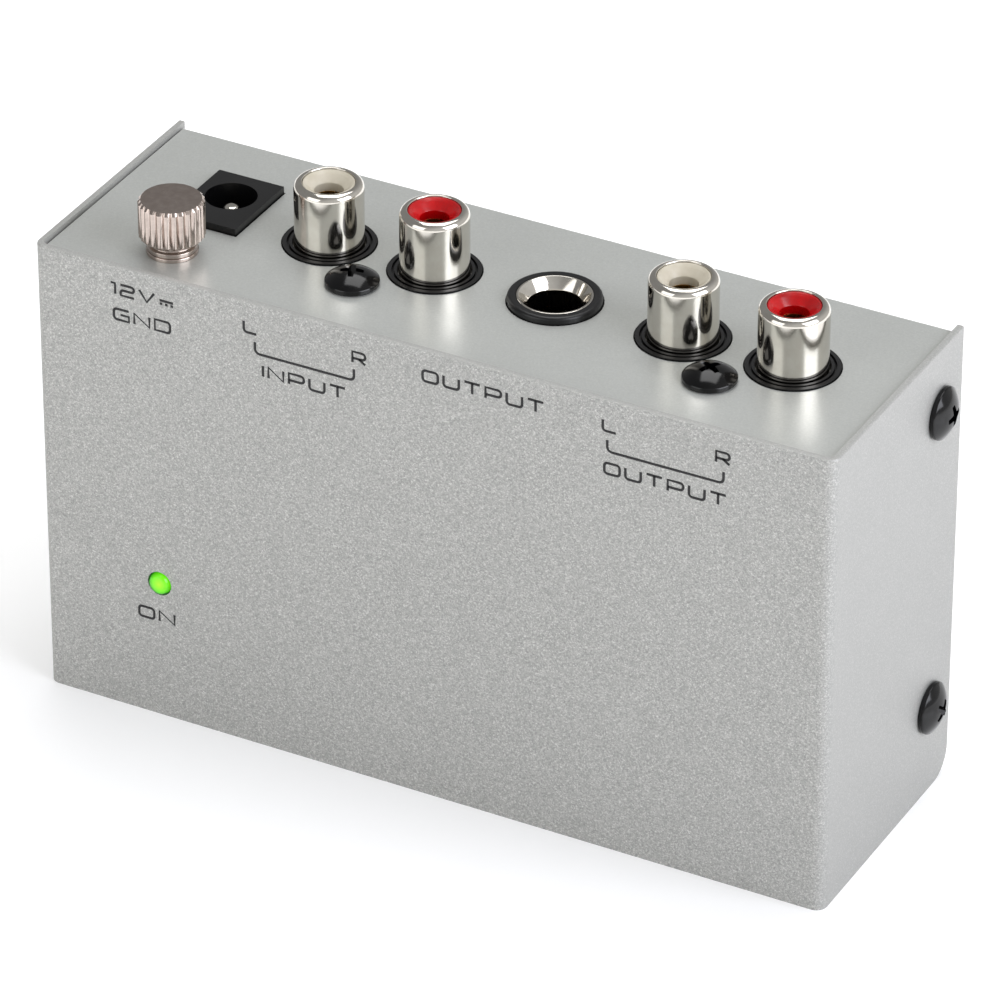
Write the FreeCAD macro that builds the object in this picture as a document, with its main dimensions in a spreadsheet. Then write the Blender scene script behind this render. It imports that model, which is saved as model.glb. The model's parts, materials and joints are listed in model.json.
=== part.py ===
import FreeCAD, Part
import os
import re
import Sketcher

# Phono preamp in a two-piece bent sheet box. It stands on the narrow side
# that is opposite its jacks, as it is photographed: X runs along the box,
# the printed cover faces -Y, and the jack panel faces +Z.
# The origin is at the middle of the whole part, on the surface it stands on.

DRIVING_SIZES = {
    # Box
    "width": 104.0,
    "height": 61.0,
    "depth": 34.0,
    "sheet": 0.8,
    "cover_bend": 1.4,
    "wall_corner": 3.5,
    "edge_break": 0.2,
    "panel_recess": 0.6,
    "sheet_gap": 0.2,
    "panel_bend": 1.0,
    "base_bend": 3.0,
    "ear_reach": 9.0,
    "ear_inset": 6.0,
    # Where the fittings stand: off the board's front, behind the cover's face, and in from the left wall
    "rca_height": 9.2,
    "rca_pitch": 14.0,
    "phone_height": 8.9,
    "panel_screw_height": 16.4,
    "ground_offset": 0.4,
    "led_inset": 16.0,
    "led_height": 18.7,
    # Screws, all of one thread
    "screw_radius": 1.45,
    "screw_clearance": 0.15,
    "tap_clearance": 0.05,
    "screw_head_radius": 3.25,
    "screw_head_height": 1.9,
    "head_rim": 0.8,
    "head_shoulder": 0.7,
    "head_fall": 0.3,
    "head_crown": 1.9,
    "side_screw_length": 5.0,
    "panel_screw_length": 7.0,
    "side_screw_depth": 28.3,
    "side_screw_low": 12.0,
    "side_screw_high": 52.5,
    # Circuit board and its standoffs
    "standoff_height": 4.8,
    "board_sheet": 1.6,
    "board_margin": 6.0,
    "board_low": 5.0,
    "board_top_margin": 2.6,
    "hole_margin": 9.0,
    "hole_low": 9.5,
    "hole_top_margin": 18.0,
    "standoff_radius": 2.6,
    "spigot_radius": 2.0,
    "spigot_clearance": 0.05,
    "board_screw_head": 2.6,
    "board_screw_head_height": 1.7,
    "board_screw_length": 4.5,
    # Parts on the board
    "can_radius": 3.15,
    "can_height": 11.0,
    "reservoir_radius": 5.0,
    "reservoir_height": 13.0,
    "film_sheet": 2.8,
    "film_height": 6.5,
    "film_length": 7.2,
    "resistor_radius": 1.15,
    "resistor_length": 6.3,
    "resistor_span": 9.6,
    "diode_radius": 1.35,
    "diode_length": 5.2,
    "diode_wire": 0.4,
    "diode_span": 8.6,
    "chip_length": 9.4,
    "chip_width": 6.4,
    "chip_height": 3.3,
    "chip_lift": 0.6,
    "chip_leg": 0.6,
    "chip_leg_sheet": 0.45,
    "chip_shoulder": 2.2,
    "regulator_radius": 2.35,
    "regulator_height": 4.7,
    "regulator_lift": 2.4,
    "regulator_flat": 1.4,
    # Feet on the back plate
    "foot_radius": 4.0,
    "foot_tip": 3.45,
    "foot_height": 1.6,
    "foot_inset": 9.0,
    # Phono sockets
    "housing_half": 13.2,
    "housing_drop": 10.0,
    "housing_margin": 3.4,
    "housing_round": 1.4,
    "collar_radius": 5.55,
    "collar_proud": 0.2,
    "collar_groove_depth": 0.5,
    "collar_groove_outer": 5.05,
    "collar_groove_inner": 4.75,
    "panel_clearance": 0.15,
    "shell_radius": 4.15,
    "shell_wall": 0.35,
    "shell_flange": 0.2,
    "shell_step": 0.3,
    "shell_reach": 8.2,
    "shell_seat": 8.0,
    "shell_lip": 3.15,
    "shell_round": 0.9,
    "nest_clearance": 0.05,
    "insulator_dip": 0.15,
    "insulator_mouth": 2.9,
    "insulator_throat": 2.15,
    "insulator_funnel": 1.9,
    "insulator_land": 0.3,
    "contact_radius": 2.1,
    "contact_bore": 1.62,
    "contact_dip": 2.3,
    "contact_length": 9.0,
    "contact_slit": 0.4,
    # Quarter-inch phone socket
    "phone_half": 7.75,
    "phone_drop": 32.0,
    "phone_front": 8.0,
    "nose_radius": 5.6,
    "nose_proud": 0.9,
    "ferrule_rim": 4.5,
    "ferrule_cone": 1.3,
    "ferrule_land": 0.25,
    "ferrule_tube": 3.9,
    "ferrule_reach": 7.5,
    "phone_bore": 3.25,
    "cavity_half": 6.2,
    "cavity_deep": 5.4,
    "cavity_floor": 1.6,
    "blade": 0.35,
    "blade_width": 2.6,
    "tip_blade_depth": 20.4,
    "ring_blade_depth": 12.6,
    "blade_slope": 3.8,
    "blade_tail": 2.4,
    "blade_touch": 2.45,
    "blade_foot": 4.6,
    # Power socket
    "power_half": 4.4,
    "power_front": 6.7,
    "power_back": 4.9,
    "power_proud": 0.9,
    "power_length": 14.2,
    "power_bore": 3.15,
    "power_bore_depth": 9.6,
    "power_pin": 1.05,
    "power_pin_tail": 0.7,
    "power_pin_dip": 1.2,
    "power_pin_proud": 0.8,
    "power_pin_nose": 0.63,
    "power_blade_width": 2.2,
    "power_blade_length": 7.5,
    "power_blade_start": 2.25,
    "power_blade_kink": 6.0,
    "power_blade_touch": 2.5,
    "power_blade_foot": 4.05,
    "power_slot_side": 0.3,
    "power_slot_room": 0.6,
    # Ground terminal
    "washer_radius": 3.1,
    "washer_sheet": 0.5,
    "ground_shank": 1.95,
    "ground_shank_length": 10.5,
    "stud_grip": 4,
    "thread_clearance": 0.05,
    "knob_neck": 3.0,
    "knob_neck_height": 1.5,
    "knob_radius": 3.96,
    "knob_height": 5.0,
    "knob_chamfer": 0.35,
    "knurl_radius": 0.32,
    "nut_flats": 7.0,
    "nut_height": 3.0,
    "lug_sheet": 0.8,
    "lug_radius": 3.6,
    "lug_reach": 8.4,
    "lug_tab": 1.6,
    "wire_radius": 0.65,
    "wire_drop": 9.0,
    "wire_bend": 4.0,
    # Power light
    "led_radius": 1.5,
    "led_proud": 0.6,
    "led_length": 5.3,
    "led_flange": 1.9,
    "led_flange_height": 1.0,
    "led_dome": 1.27,
    "led_clearance": 0.1,
    "lead_radius": 0.25,
    "lead_pitch": 2.54,
    "lead_tail": 1.4,
    "spacer_radius": 2.4,
    "spacer_bore": 1.75,
}
KNURL_COUNT = 26
QUARTER_TURN = 90.0
# The share of the panel's free width that stands to the left of each socket housing
GAP_BEFORE = {"power": 107 / 269, "input": 42 / 269, "phone": 16.5 / 269, "output": 27.5 / 269}
# The shares of the room in front of the board at which two fittings stand
DEPTH_SHARE = {"power": 203 / 268, "ground": 72 / 268}
SAME_LENGTH = 1e-4
# Where the corners and circles of a sketch start before its dimensions place them
START_STRIDE = 7
START_SPREAD = 30.0

doc = FreeCAD.newDocument("phono_preamp")
sizes = doc.addObject("Spreadsheet::Sheet", "sizes")
for row, (alias, number) in enumerate(DRIVING_SIZES.items(), start=1):
    sizes.set("A%d" % row, alias)
    sizes.set("B%d" % row, str(number))
    sizes.setAlias("B%d" % row, alias)
doc.recompute()

# Places that several pieces share, as expressions of the driving sizes
FRONT = "((led_proud - depth - foot_height) / 2)"
BACK = "(%s + depth)" % FRONT
PANEL = "(height - panel_recess)"
UNDER = "(height - panel_recess - sheet)"
PLATE = "(%s - sheet)" % BACK
BOARD_BACK = "(%s - standoff_height)" % PLATE
BOARD = "(%s - board_sheet)" % BOARD_BACK
BOARD_HALF = "(width / 2 - board_margin)"
FREE_WIDTH = "(width - 2 * power_half - 4 * housing_half - 2 * phone_half)"
POWER = "(%s * %.9f + power_half - width / 2)" % (FREE_WIDTH, GAP_BEFORE["power"])
INPUT = "(%s + power_half + %s * %.9f + housing_half)" % (POWER, FREE_WIDTH, GAP_BEFORE["input"])
PHONE = "(%s + housing_half + %s * %.9f + phone_half)" % (INPUT, FREE_WIDTH, GAP_BEFORE["phone"])
OUTPUT = "(%s + phone_half + %s * %.9f + housing_half)" % (PHONE, FREE_WIDTH, GAP_BEFORE["output"])
RCA_AXIS = "(%s - rca_height)" % BOARD
PHONE_AXIS = "(%s - phone_height)" % BOARD
ROOM = "(%s - %s)" % (BOARD, FRONT)
POWER_AXIS = "(%s + %s * %.9f)" % (FRONT, ROOM, DEPTH_SHARE["power"])
GROUND_AXIS = "(%s + %s * %.9f)" % (FRONT, ROOM, DEPTH_SHARE["ground"])
SCREW_AXIS = "(%s - panel_screw_height)" % BOARD
GROUND = "(%s - ground_offset)" % POWER
LIGHT = "(led_inset - width / 2)"
LIGHT_BACK = "(%s - led_proud + led_length)" % FRONT
INNER_HALF = "(width / 2 - sheet - sheet_gap)"


def size(alias):
    """Reads one driving size from the sheet."""
    return float(sizes.get(alias))


def face_at():
    """Where the cover's face stands, as a number."""
    return (size("led_proud") - size("depth") - size("foot_height")) / 2


def back_at():
    """Where the back plate's outside stands, as a number."""
    return face_at() + size("depth")


def board_at():
    """Where the board's front stands, as a number."""
    return back_at() - size("sheet") - size("standoff_height") - size("board_sheet")


def panel_at():
    """Where the jack panel's outside stands, as a number."""
    return size("height") - size("panel_recess")


def linked(text):
    """Turns the plain alias names in an expression into links to the sheet."""
    def link(word):
        return "sizes." + word.group() if word.group() in DRIVING_SIZES else word.group()
    return re.sub(r"[a-z][a-z_]*", link, text)


def tie(thing, prop, text):
    """Binds a property of a document object to the sheet."""
    thing.setExpression(prop, linked(text))


def place(thing, along="0", across="0", up="0"):
    """Binds where a document object stands."""
    for axis, text in zip("xyz", (along, across, up)):
        tie(thing, "Placement.Base." + axis, text)


def origin_plane(body, role):
    """Finds one of a body's own origin planes."""
    return next(item for item in body.Origin.OriginFeatures if item.Role == role)


def new_sketch(body, name, role, offset):
    """Starts a sketch on an origin plane of the body, moved along the plane's normal."""
    sketch = body.newObject("Sketcher::SketchObject", name)
    sketch.AttachmentSupport = [(origin_plane(body, role), "")]
    sketch.MapMode = "FlatFace"
    tie(sketch, "AttachmentOffset.Base.z", offset)
    return sketch


def pin_point(sketch, geometry, point, x_text, y_text):
    """Fixes one point of a sketch by two dimensions from the sketch's origin."""
    for kind, text in (("DistanceX", x_text), ("DistanceY", y_text)):
        number = sketch.addConstraint(Sketcher.Constraint(kind, -1, 1, geometry, point, 1.0))
        tie(sketch, "Constraints[%d]" % number, text)


def outline(body, name, role, points, offset="0"):
    """Draws a closed outline whose corners are bound to the sheet."""
    sketch = new_sketch(body, name, role, offset)
    count = len(points)
    corners = [FreeCAD.Vector(number, number * START_STRIDE % count, 0) for number in range(count)]
    for number in range(count):
        ends = corners[number], corners[(number + 1) % count]
        sketch.addGeometry(Part.LineSegment(*ends), False)
    for number in range(count):
        sketch.addConstraint(Sketcher.Constraint("Coincident", number, 2, (number + 1) % count, 1))
    for number, (x_text, y_text) in enumerate(points):
        pin_point(sketch, number, 1, x_text, y_text)
    return sketch


def rectangle(body, name, role, low, high, offset="0"):
    """Draws a rectangle from its low and high corners."""
    (x_low, y_low), (x_high, y_high) = low, high
    points = [(x_low, y_low), (x_high, y_low), (x_high, y_high), (x_low, y_high)]
    return outline(body, name, role, points, offset)


def circles(body, name, role, rounds, offset="0"):
    """Draws circles, each given as its centre and radius."""
    sketch = new_sketch(body, name, role, offset)
    for number, (x_text, y_text, radius) in enumerate(rounds):
        start = FreeCAD.Vector(START_SPREAD * number, 0, 0)
        sketch.addGeometry(Part.Circle(start, FreeCAD.Vector(0, 0, 1), 1.0), False)
        pin_point(sketch, number, 3, x_text, y_text)
        radial = sketch.addConstraint(Sketcher.Constraint("Radius", number, 1.0))
        tie(sketch, "Constraints[%d]" % radial, radius)
    return sketch


def pad(body, name, sketch, length, reverse=False):
    """Pads a sketch by a length bound to the sheet."""
    feature = body.newObject("PartDesign::Pad", name)
    feature.Profile = sketch
    feature.Reversed = reverse
    tie(feature, "Length", length)
    doc.recompute()
    return feature


def pocket(body, name, sketch, length=None):
    """Cuts a sketch against its plane's normal, and makes sure that it cuts something."""
    before = body.Shape.Volume
    feature = body.newObject("PartDesign::Pocket", name)
    feature.Profile = sketch
    if length is None:
        feature.Type = 1
    else:
        tie(feature, "Length", length)
    doc.recompute()
    if body.Shape.Volume >= before - SAME_LENGTH:
        raise ValueError("%s of %s cuts nothing" % (name, body.Label))
    return feature


def revolve(body, name, sketch):
    """Turns a sketch on the XZ plane about the body's Z axis."""
    feature = body.newObject("PartDesign::Revolution", name)
    feature.Profile = sketch
    feature.ReferenceAxis = (sketch, ["V_Axis"])
    feature.Angle = 360.0
    doc.recompute()
    return feature


def matching_edges(shape, test):
    """Names the edges of a shape that pass a test."""
    return ["Edge%d" % number for number, edge in enumerate(shape.Edges, start=1) if test(edge)]


def soften(body, name, kind, radius, test):
    """Fillets or chamfers the edges of a body's tip that pass a test."""
    base = body.Tip
    names = matching_edges(base.Shape, test)
    if not names:
        raise ValueError("%s of %s finds no edge" % (name, body.Label))
    feature = body.newObject("PartDesign::" + kind, name)
    feature.Base = (base, names)
    tie(feature, "Radius" if kind == "Fillet" else "Size", radius)
    doc.recompute()
    return feature


def near(value, target):
    """Says whether two lengths are the same."""
    return abs(value - target) < SAME_LENGTH


def flat_at(edge, axis, target):
    """Says whether an edge lies wholly in the plane where one coordinate has a value."""
    box = edge.BoundBox
    low, high = {"x": (box.XMin, box.XMax), "y": (box.YMin, box.YMax), "z": (box.ZMin, box.ZMax)}[axis]
    return near(low, target) and near(high, target)


def new_body(label):
    """Starts a sub-part that is built from sketches."""
    body = doc.addObject("PartDesign::Body", label)
    body.Label = label
    return body


def cylinder(label, radius, length, axis="z"):
    """Makes a round bar along an axis, from its own base."""
    bar = doc.addObject("Part::Cylinder", label)
    bar.Label = label
    tie(bar, "Radius", radius)
    tie(bar, "Height", length)
    turns = {"x": ((0, 1, 0), 90), "y": ((1, 0, 0), -90), "-y": ((1, 0, 0), 90), "z": ((0, 0, 1), 0)}
    direction, angle = turns[axis]
    bar.Placement.Rotation = FreeCAD.Rotation(FreeCAD.Vector(*direction), angle)
    return bar


def block(label, along, across, up):
    """Makes a block with the given lengths along X, Y and Z."""
    made = doc.addObject("Part::Box", label)
    made.Label = label
    tie(made, "Length", along)
    tie(made, "Width", across)
    tie(made, "Height", up)
    return made


def fused(label, pieces):
    """Joins pieces into one solid."""
    whole = doc.addObject("Part::MultiFuse", label)
    whole.Label = label
    whole.Shapes = pieces
    return whole


def cut(label, base, tool):
    """Cuts one piece from another."""
    rest = doc.addObject("Part::Cut", label)
    rest.Label = label
    rest.Base = base
    rest.Tool = tool
    return rest


def group(label, pieces):
    """Keeps like pieces together as separate solids."""
    whole = doc.addObject("Part::Compound", label)
    whole.Label = label
    whole.Links = pieces
    return whole


# Box


def make_cover():
    """The cover: face and both side walls, bent from one sheet."""
    body = new_body("cover")
    half = "width / 2"
    inner = "(width / 2 - sheet)"
    points = [
        ("-" + half, BACK), ("-" + half, FRONT), (half, FRONT), (half, BACK),
        (inner, BACK), (inner, FRONT + " + sheet"), ("-" + inner, FRONT + " + sheet"), ("-" + inner, BACK),
    ]
    pad(body, "sheet_pad", outline(body, "profile", "XY_Plane", points), "height")
    front, back = face_at(), back_at()
    inside = size("width") / 2 - size("sheet")
    soften(body, "outer_bends", "Fillet", "cover_bend",
           lambda edge: flat_at(edge, "y", front) and near(edge.Length, size("height")))
    soften(body, "inner_bends", "Fillet", "cover_bend - sheet",
           lambda edge: flat_at(edge, "y", front + size("sheet")) and near(edge.Length, size("height"))
           and near(abs(edge.CenterOfMass.x), inside))
    soften(body, "wall_corners", "Fillet", "wall_corner",
           lambda edge: flat_at(edge, "y", back) and flat_at(edge, "z", 0.0))
    soften(body, "edge_breaks", "Fillet", "edge_break",
           lambda edge: flat_at(edge, "z", size("height")) and not flat_at(edge, "y", back)
           and is_outer(edge, front, size("width") / 2))
    light = circles(body, "light_hole", "XZ_Plane",
                    [(LIGHT, "led_height", "led_radius + led_clearance")], "depth")
    pocket(body, "light_cut", light)
    holes = [("%s + side_screw_depth" % FRONT, up, "screw_radius + screw_clearance")
             for up in ("side_screw_low", "side_screw_high")]
    pocket(body, "screw_cut", circles(body, "screw_holes", "YZ_Plane", holes, "width"))
    return body


def is_outer(edge, front, half):
    """Says whether a top edge of the cover lies on the outside of its sheet."""
    box = edge.BoundBox
    on_face = near(box.YMin, front)
    on_wall = near(max(abs(box.XMin), abs(box.XMax)), half)
    return (on_face or on_wall) and max(box.XLength, box.YLength) > size("sheet") * 1.01


def make_chassis():
    """The chassis: jack panel, back plate and base, bent from one sheet, with two ears."""
    body = new_body("chassis")
    lip = FRONT + " + sheet + sheet_gap"
    points = [
        (lip, PANEL), (BACK, PANEL), (BACK, "panel_recess"), (lip, "panel_recess"),
        (lip, "panel_recess + sheet"), (PLATE, "panel_recess + sheet"), (PLATE, UNDER), (lip, UNDER),
    ]
    profile = outline(body, "profile", "YZ_Plane", points, "-" + INNER_HALF)
    pad(body, "sheet_pad", profile, "2 * " + INNER_HALF)
    back, panel = back_at(), panel_at()
    plate = back - size("sheet")
    recess = size("panel_recess")
    sheet = size("sheet")
    bends = (
        ("panel_bend_out", "panel_bend", back, panel),
        ("panel_bend_in", "panel_bend - sheet", plate, panel - sheet),
        ("base_bend_out", "base_bend", back, recess),
        ("base_bend_in", "base_bend - sheet", plate, recess + sheet),
    )
    for name, radius, across, up in bends:
        soften(body, name, "Fillet", radius,
               lambda edge, across=across, up=up: flat_at(edge, "y", across) and flat_at(edge, "z", up))
    low, high = "ear_inset", "height - ear_inset"
    for side, offset in (("left", "-" + INNER_HALF), ("right", INNER_HALF + " - sheet")):
        ear = rectangle(body, side + "_ear_outline", "YZ_Plane",
                        (PLATE + " - ear_reach", low), (PLATE + " + sheet / 2", high), offset)
        pad(body, side + "_ear", ear, "sheet")
    soften(body, "ear_corners", "Fillet", "wall_corner / 2",
           lambda edge: near(edge.Length, sheet) and near(edge.CenterOfMass.y, plate - size("ear_reach")))
    taps = [("%s + side_screw_depth" % FRONT, up, "screw_radius + tap_clearance")
            for up in ("side_screw_low", "side_screw_high")]
    pocket(body, "ear_taps", circles(body, "tap_holes", "YZ_Plane", taps, "width"))
    rounds = [(along, RCA_AXIS, "collar_radius + panel_clearance") for along in rca_places()]
    rounds.append((PHONE, PHONE_AXIS, "nose_radius + panel_clearance"))
    rounds.append((GROUND, GROUND_AXIS, "ground_shank + screw_clearance"))
    rounds += [(along, SCREW_AXIS, "screw_radius + screw_clearance")
               for along in (INPUT, OUTPUT)]
    down = "height + panel_recess + 2 * sheet"
    pocket(body, "jack_holes", circles(body, "jack_rounds", "XY_Plane", rounds, "2 * height"), down)
    window = rectangle(
        body, "power_window", "XY_Plane",
        (POWER + " - power_half - panel_clearance", POWER_AXIS + " - power_front - panel_clearance"),
        (POWER + " + power_half + panel_clearance", POWER_AXIS + " + power_back + panel_clearance"),
        "2 * height")
    pocket(body, "power_cut", window, down)
    spigots = [(along, up, "spigot_radius + spigot_clearance") for along, up in board_holes()]
    pocket(body, "spigot_cut", circles(body, "spigot_holes", "XZ_Plane", spigots, "depth"))
    return body


def rca_places():
    """Where the four phono sockets stand along the box."""
    return [pair + side for pair in (INPUT, OUTPUT) for side in (" - rca_pitch / 2", " + rca_pitch / 2")]


def board_holes():
    """Where the board's four screws stand, along and up the box."""
    heights = ("hole_low", "height - hole_top_margin")
    return [(side + "(width / 2 - hole_margin)", up) for side in ("-", "") for up in heights]


def screw_body(name, head_radius, head_height, length):
    """A domed pan-head screw that points down its own -Z from the underside of its head."""
    body = new_body(name)
    points = [
        ("0", "-" + length), ("screw_radius", "-" + length), ("screw_radius", "0"), (head_radius, "0"),
        (head_radius, "head_rim"), (head_radius + " - head_shoulder", head_height + " - head_fall"),
        (head_radius + " - head_crown", head_height), ("0", head_height),
    ]
    revolve(body, name + "_turned", outline(body, name + "_profile", "XZ_Plane", points))
    return body


def make_side_screws():
    """Four screws that hold the cover to the chassis ears."""
    screws = []
    for side, turn in (("-", -90), ("", 90)):
        for up in ("side_screw_low", "side_screw_high"):
            screw = screw_body("side_screw_%d" % len(screws), "screw_head_radius", "screw_head_height",
                               "side_screw_length")
            screw.Placement.Rotation = FreeCAD.Rotation(FreeCAD.Vector(0, 1, 0), turn)
            place(screw, side + "width / 2", FRONT + " + side_screw_depth", up)
            screws.append(screw)
    return group("side_screws", screws)


def make_panel_screws():
    """Two screws that hold the phono socket housings to the jack panel."""
    screws = []
    for along in (INPUT, OUTPUT):
        screw = screw_body("panel_screw_%d" % len(screws), "screw_head_radius", "screw_head_height",
                           "panel_screw_length")
        place(screw, along, SCREW_AXIS, PANEL)
        screws.append(screw)
    return group("panel_screws", screws)


def make_board_screws():
    """Four screws that hold the board to its standoffs."""
    screws = []
    for along, up in board_holes():
        screw = screw_body("board_screw_%d" % len(screws), "board_screw_head", "board_screw_head_height",
                           "board_screw_length")
        screw.Placement.Rotation = FreeCAD.Rotation(FreeCAD.Vector(1, 0, 0), 90)
        place(screw, along, BOARD, up)
        screws.append(screw)
    return group("board_screws", screws)


def make_standoffs():
    """Four round standoffs with spigots pressed into the back plate."""
    posts = []
    for along, up in board_holes():
        name = "standoff_%d" % len(posts)
        body = new_body(name)
        reach = "standoff_height"
        points = [
            ("screw_radius + tap_clearance", "0"), ("standoff_radius", "0"), ("standoff_radius", reach),
            ("spigot_radius", reach), ("spigot_radius", reach + " + sheet"),
            ("screw_radius + tap_clearance", reach + " + sheet"),
        ]
        revolve(body, name + "_turned", outline(body, name + "_profile", "XZ_Plane", points))
        body.Placement.Rotation = FreeCAD.Rotation(FreeCAD.Vector(1, 0, 0), -90)
        place(body, along, BOARD_BACK, up)
        posts.append(body)
    return group("board_standoffs", posts)


def make_feet():
    """Four stick-on rubber feet on the back plate."""
    feet = []
    for side in ("-", ""):
        for up in ("foot_inset", "height - foot_inset"):
            name = "foot_%d" % len(feet)
            foot = doc.addObject("Part::Cone", name)
            tie(foot, "Radius1", "foot_radius")
            tie(foot, "Radius2", "foot_tip")
            tie(foot, "Height", "foot_height")
            foot.Placement.Rotation = FreeCAD.Rotation(FreeCAD.Vector(1, 0, 0), -90)
            place(foot, side + "(width / 2 - foot_inset)", BACK, up)
            feet.append(foot)
    return group("rubber_feet", feet)


# Circuit board and what stands on it

# Each stands at a share of the board's half length, and at a share of its height
FILM_CAPACITORS = ((-0.13, 0.53), (-0.13, 0.68), (0.457, 0.66), (0.61, 0.66), (0.413, 0.1), (0.565, 0.1))
SMALL_CAPACITORS = ((-0.565, 0.68), (-0.37, 0.68), (-0.565, 0.1), (-0.37, 0.1), (0.783, 0.66), (0.76, 0.1))
RESISTORS = (
    (-0.587, 0.32), (-0.587, 0.385), (-0.587, 0.45), (-0.587, 0.515),
    (0.826, 0.255), (0.826, 0.32), (0.826, 0.385), (0.826, 0.45),
    (0.043, 0.08), (0.043, 0.145), (0.043, 0.21), (0.043, 0.275),
)
CHIPS = ((-0.26, 0.32), (0.52, 0.36))
RESERVOIR = (-0.815, 0.525)
DIODE = (-0.75, 0.705)
REGULATOR = (-0.587, 0.21)


def stand(thing, spot, along="0", across="0", up="0"):
    """Binds where a thing stands on the board's front, offset from its spot."""
    share_along, share_up = spot
    place(thing, "%s * %g + %s" % (BOARD_HALF, share_along, along), "%s - (%s)" % (BOARD, across),
          "board_low + (height - board_top_margin - board_low) * %g + %s" % (share_up, up))


def make_board():
    """The circuit board, with holes for its screws and the light's leads."""
    body = new_body("circuit_board")
    edge = rectangle(body, "edge", "XZ_Plane", ("-" + BOARD_HALF, "board_low"),
                     (BOARD_HALF, "height - board_top_margin"), "-" + BOARD_BACK)
    pad(body, "sheet_pad", edge, "board_sheet")
    holes = [(along, up, "screw_radius + screw_clearance") for along, up in board_holes()]
    for side in (" - ", " + "):
        holes.append((LIGHT + side + "lead_pitch / 2", "led_height", "lead_radius + panel_clearance"))
    pocket(body, "hole_cut", circles(body, "holes", "XZ_Plane", holes, "depth"))
    return body


def make_small_capacitors():
    """Upright electrolytic capacitors in sleeved cans."""
    cans = []
    for spot in SMALL_CAPACITORS:
        can = cylinder("can_%d" % len(cans), "can_radius", "can_height", "-y")
        stand(can, spot)
        cans.append(can)
    return group("small_capacitors", cans)


def make_reservoir():
    """The larger electrolytic capacitor beside the power socket."""
    can = cylinder("reservoir_capacitor", "reservoir_radius", "reservoir_height", "-y")
    stand(can, RESERVOIR)
    return can


def make_film_capacitors():
    """Box film capacitors of the equaliser network."""
    boxes = []
    for spot in FILM_CAPACITORS:
        box = block("film_%d" % len(boxes), "film_sheet", "film_height", "film_length")
        stand(box, spot, "-film_sheet / 2", "film_height", "-film_length / 2")
        boxes.append(box)
    return group("film_capacitors", boxes)


def make_axial(name, spot, barrel_radius, barrel_length, wire_radius, span):
    """A round part that lies on the board between its two bent legs."""
    barrel = cylinder(name + "_barrel", barrel_radius, barrel_length, "x")
    stand(barrel, spot, "-%s / 2" % barrel_length, barrel_radius)
    wire = cylinder(name + "_wire", wire_radius, span, "x")
    stand(wire, spot, "-%s / 2" % span, barrel_radius)
    pieces = [barrel, wire]
    for side in ("-", ""):
        leg = cylinder("%s_leg_%d" % (name, len(pieces)), wire_radius, barrel_radius, "y")
        stand(leg, spot, "%s%s / 2" % (side, span), barrel_radius)
        pieces.append(leg)
    return fused(name, pieces)


def make_resistors():
    """Axial resistors that lie on the board."""
    made = [make_axial("resistor_%d" % number, spot, "resistor_radius", "resistor_length", "lead_radius",
                       "resistor_span")
            for number, spot in enumerate(RESISTORS)]
    return group("resistors", made)


def make_diode():
    """The diode that guards against a reversed supply."""
    return make_axial("polarity_diode", DIODE, "diode_radius", "diode_length", "diode_wire", "diode_span")


def make_chips():
    """Two eight-pin amplifier chips, legs fused to their bodies."""
    chips = []
    for spot in CHIPS:
        name = "chip_%d" % len(chips)
        case = block(name + "_case", "chip_length", "chip_height", "chip_width")
        stand(case, spot, "-chip_length / 2", "chip_lift + chip_height", "-chip_width / 2")
        pieces = [case]
        for column in (-1.5, -0.5, 0.5, 1.5):
            for side in ("-", ""):
                label = "%s_leg_%d" % (name, len(pieces))
                leg = block(label, "chip_leg", "chip_shoulder", "2 * chip_leg_sheet")
                stand(leg, spot, "lead_pitch * %g - chip_leg / 2" % column, "chip_shoulder",
                      "%schip_width / 2 - chip_leg_sheet" % side)
                pieces.append(leg)
        chips.append(fused(name, pieces))
    return group("amplifier_chips", chips)


def make_regulator():
    """The small three-leg voltage regulator, flat side up the box."""
    barrel = cylinder("regulator_round", "regulator_radius", "regulator_height", "-y")
    stand(barrel, REGULATOR, "0", "regulator_lift")
    slab = block("regulator_flat", "3 * regulator_radius", "2 * regulator_height", "2 * regulator_radius")
    stand(slab, REGULATOR, "-1.5 * regulator_radius", "regulator_lift + 1.5 * regulator_height",
          "regulator_flat")
    pieces = [cut("regulator_case", barrel, slab)]
    for side in ("-lead_pitch / 2", "0", "lead_pitch / 2"):
        leg = cylinder("regulator_leg_%d" % len(pieces), "lead_radius", "regulator_lift + lead_radius", "-y")
        stand(leg, REGULATOR, side)
        pieces.append(leg)
    return fused("voltage_regulator", pieces)


# Phono sockets


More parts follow.
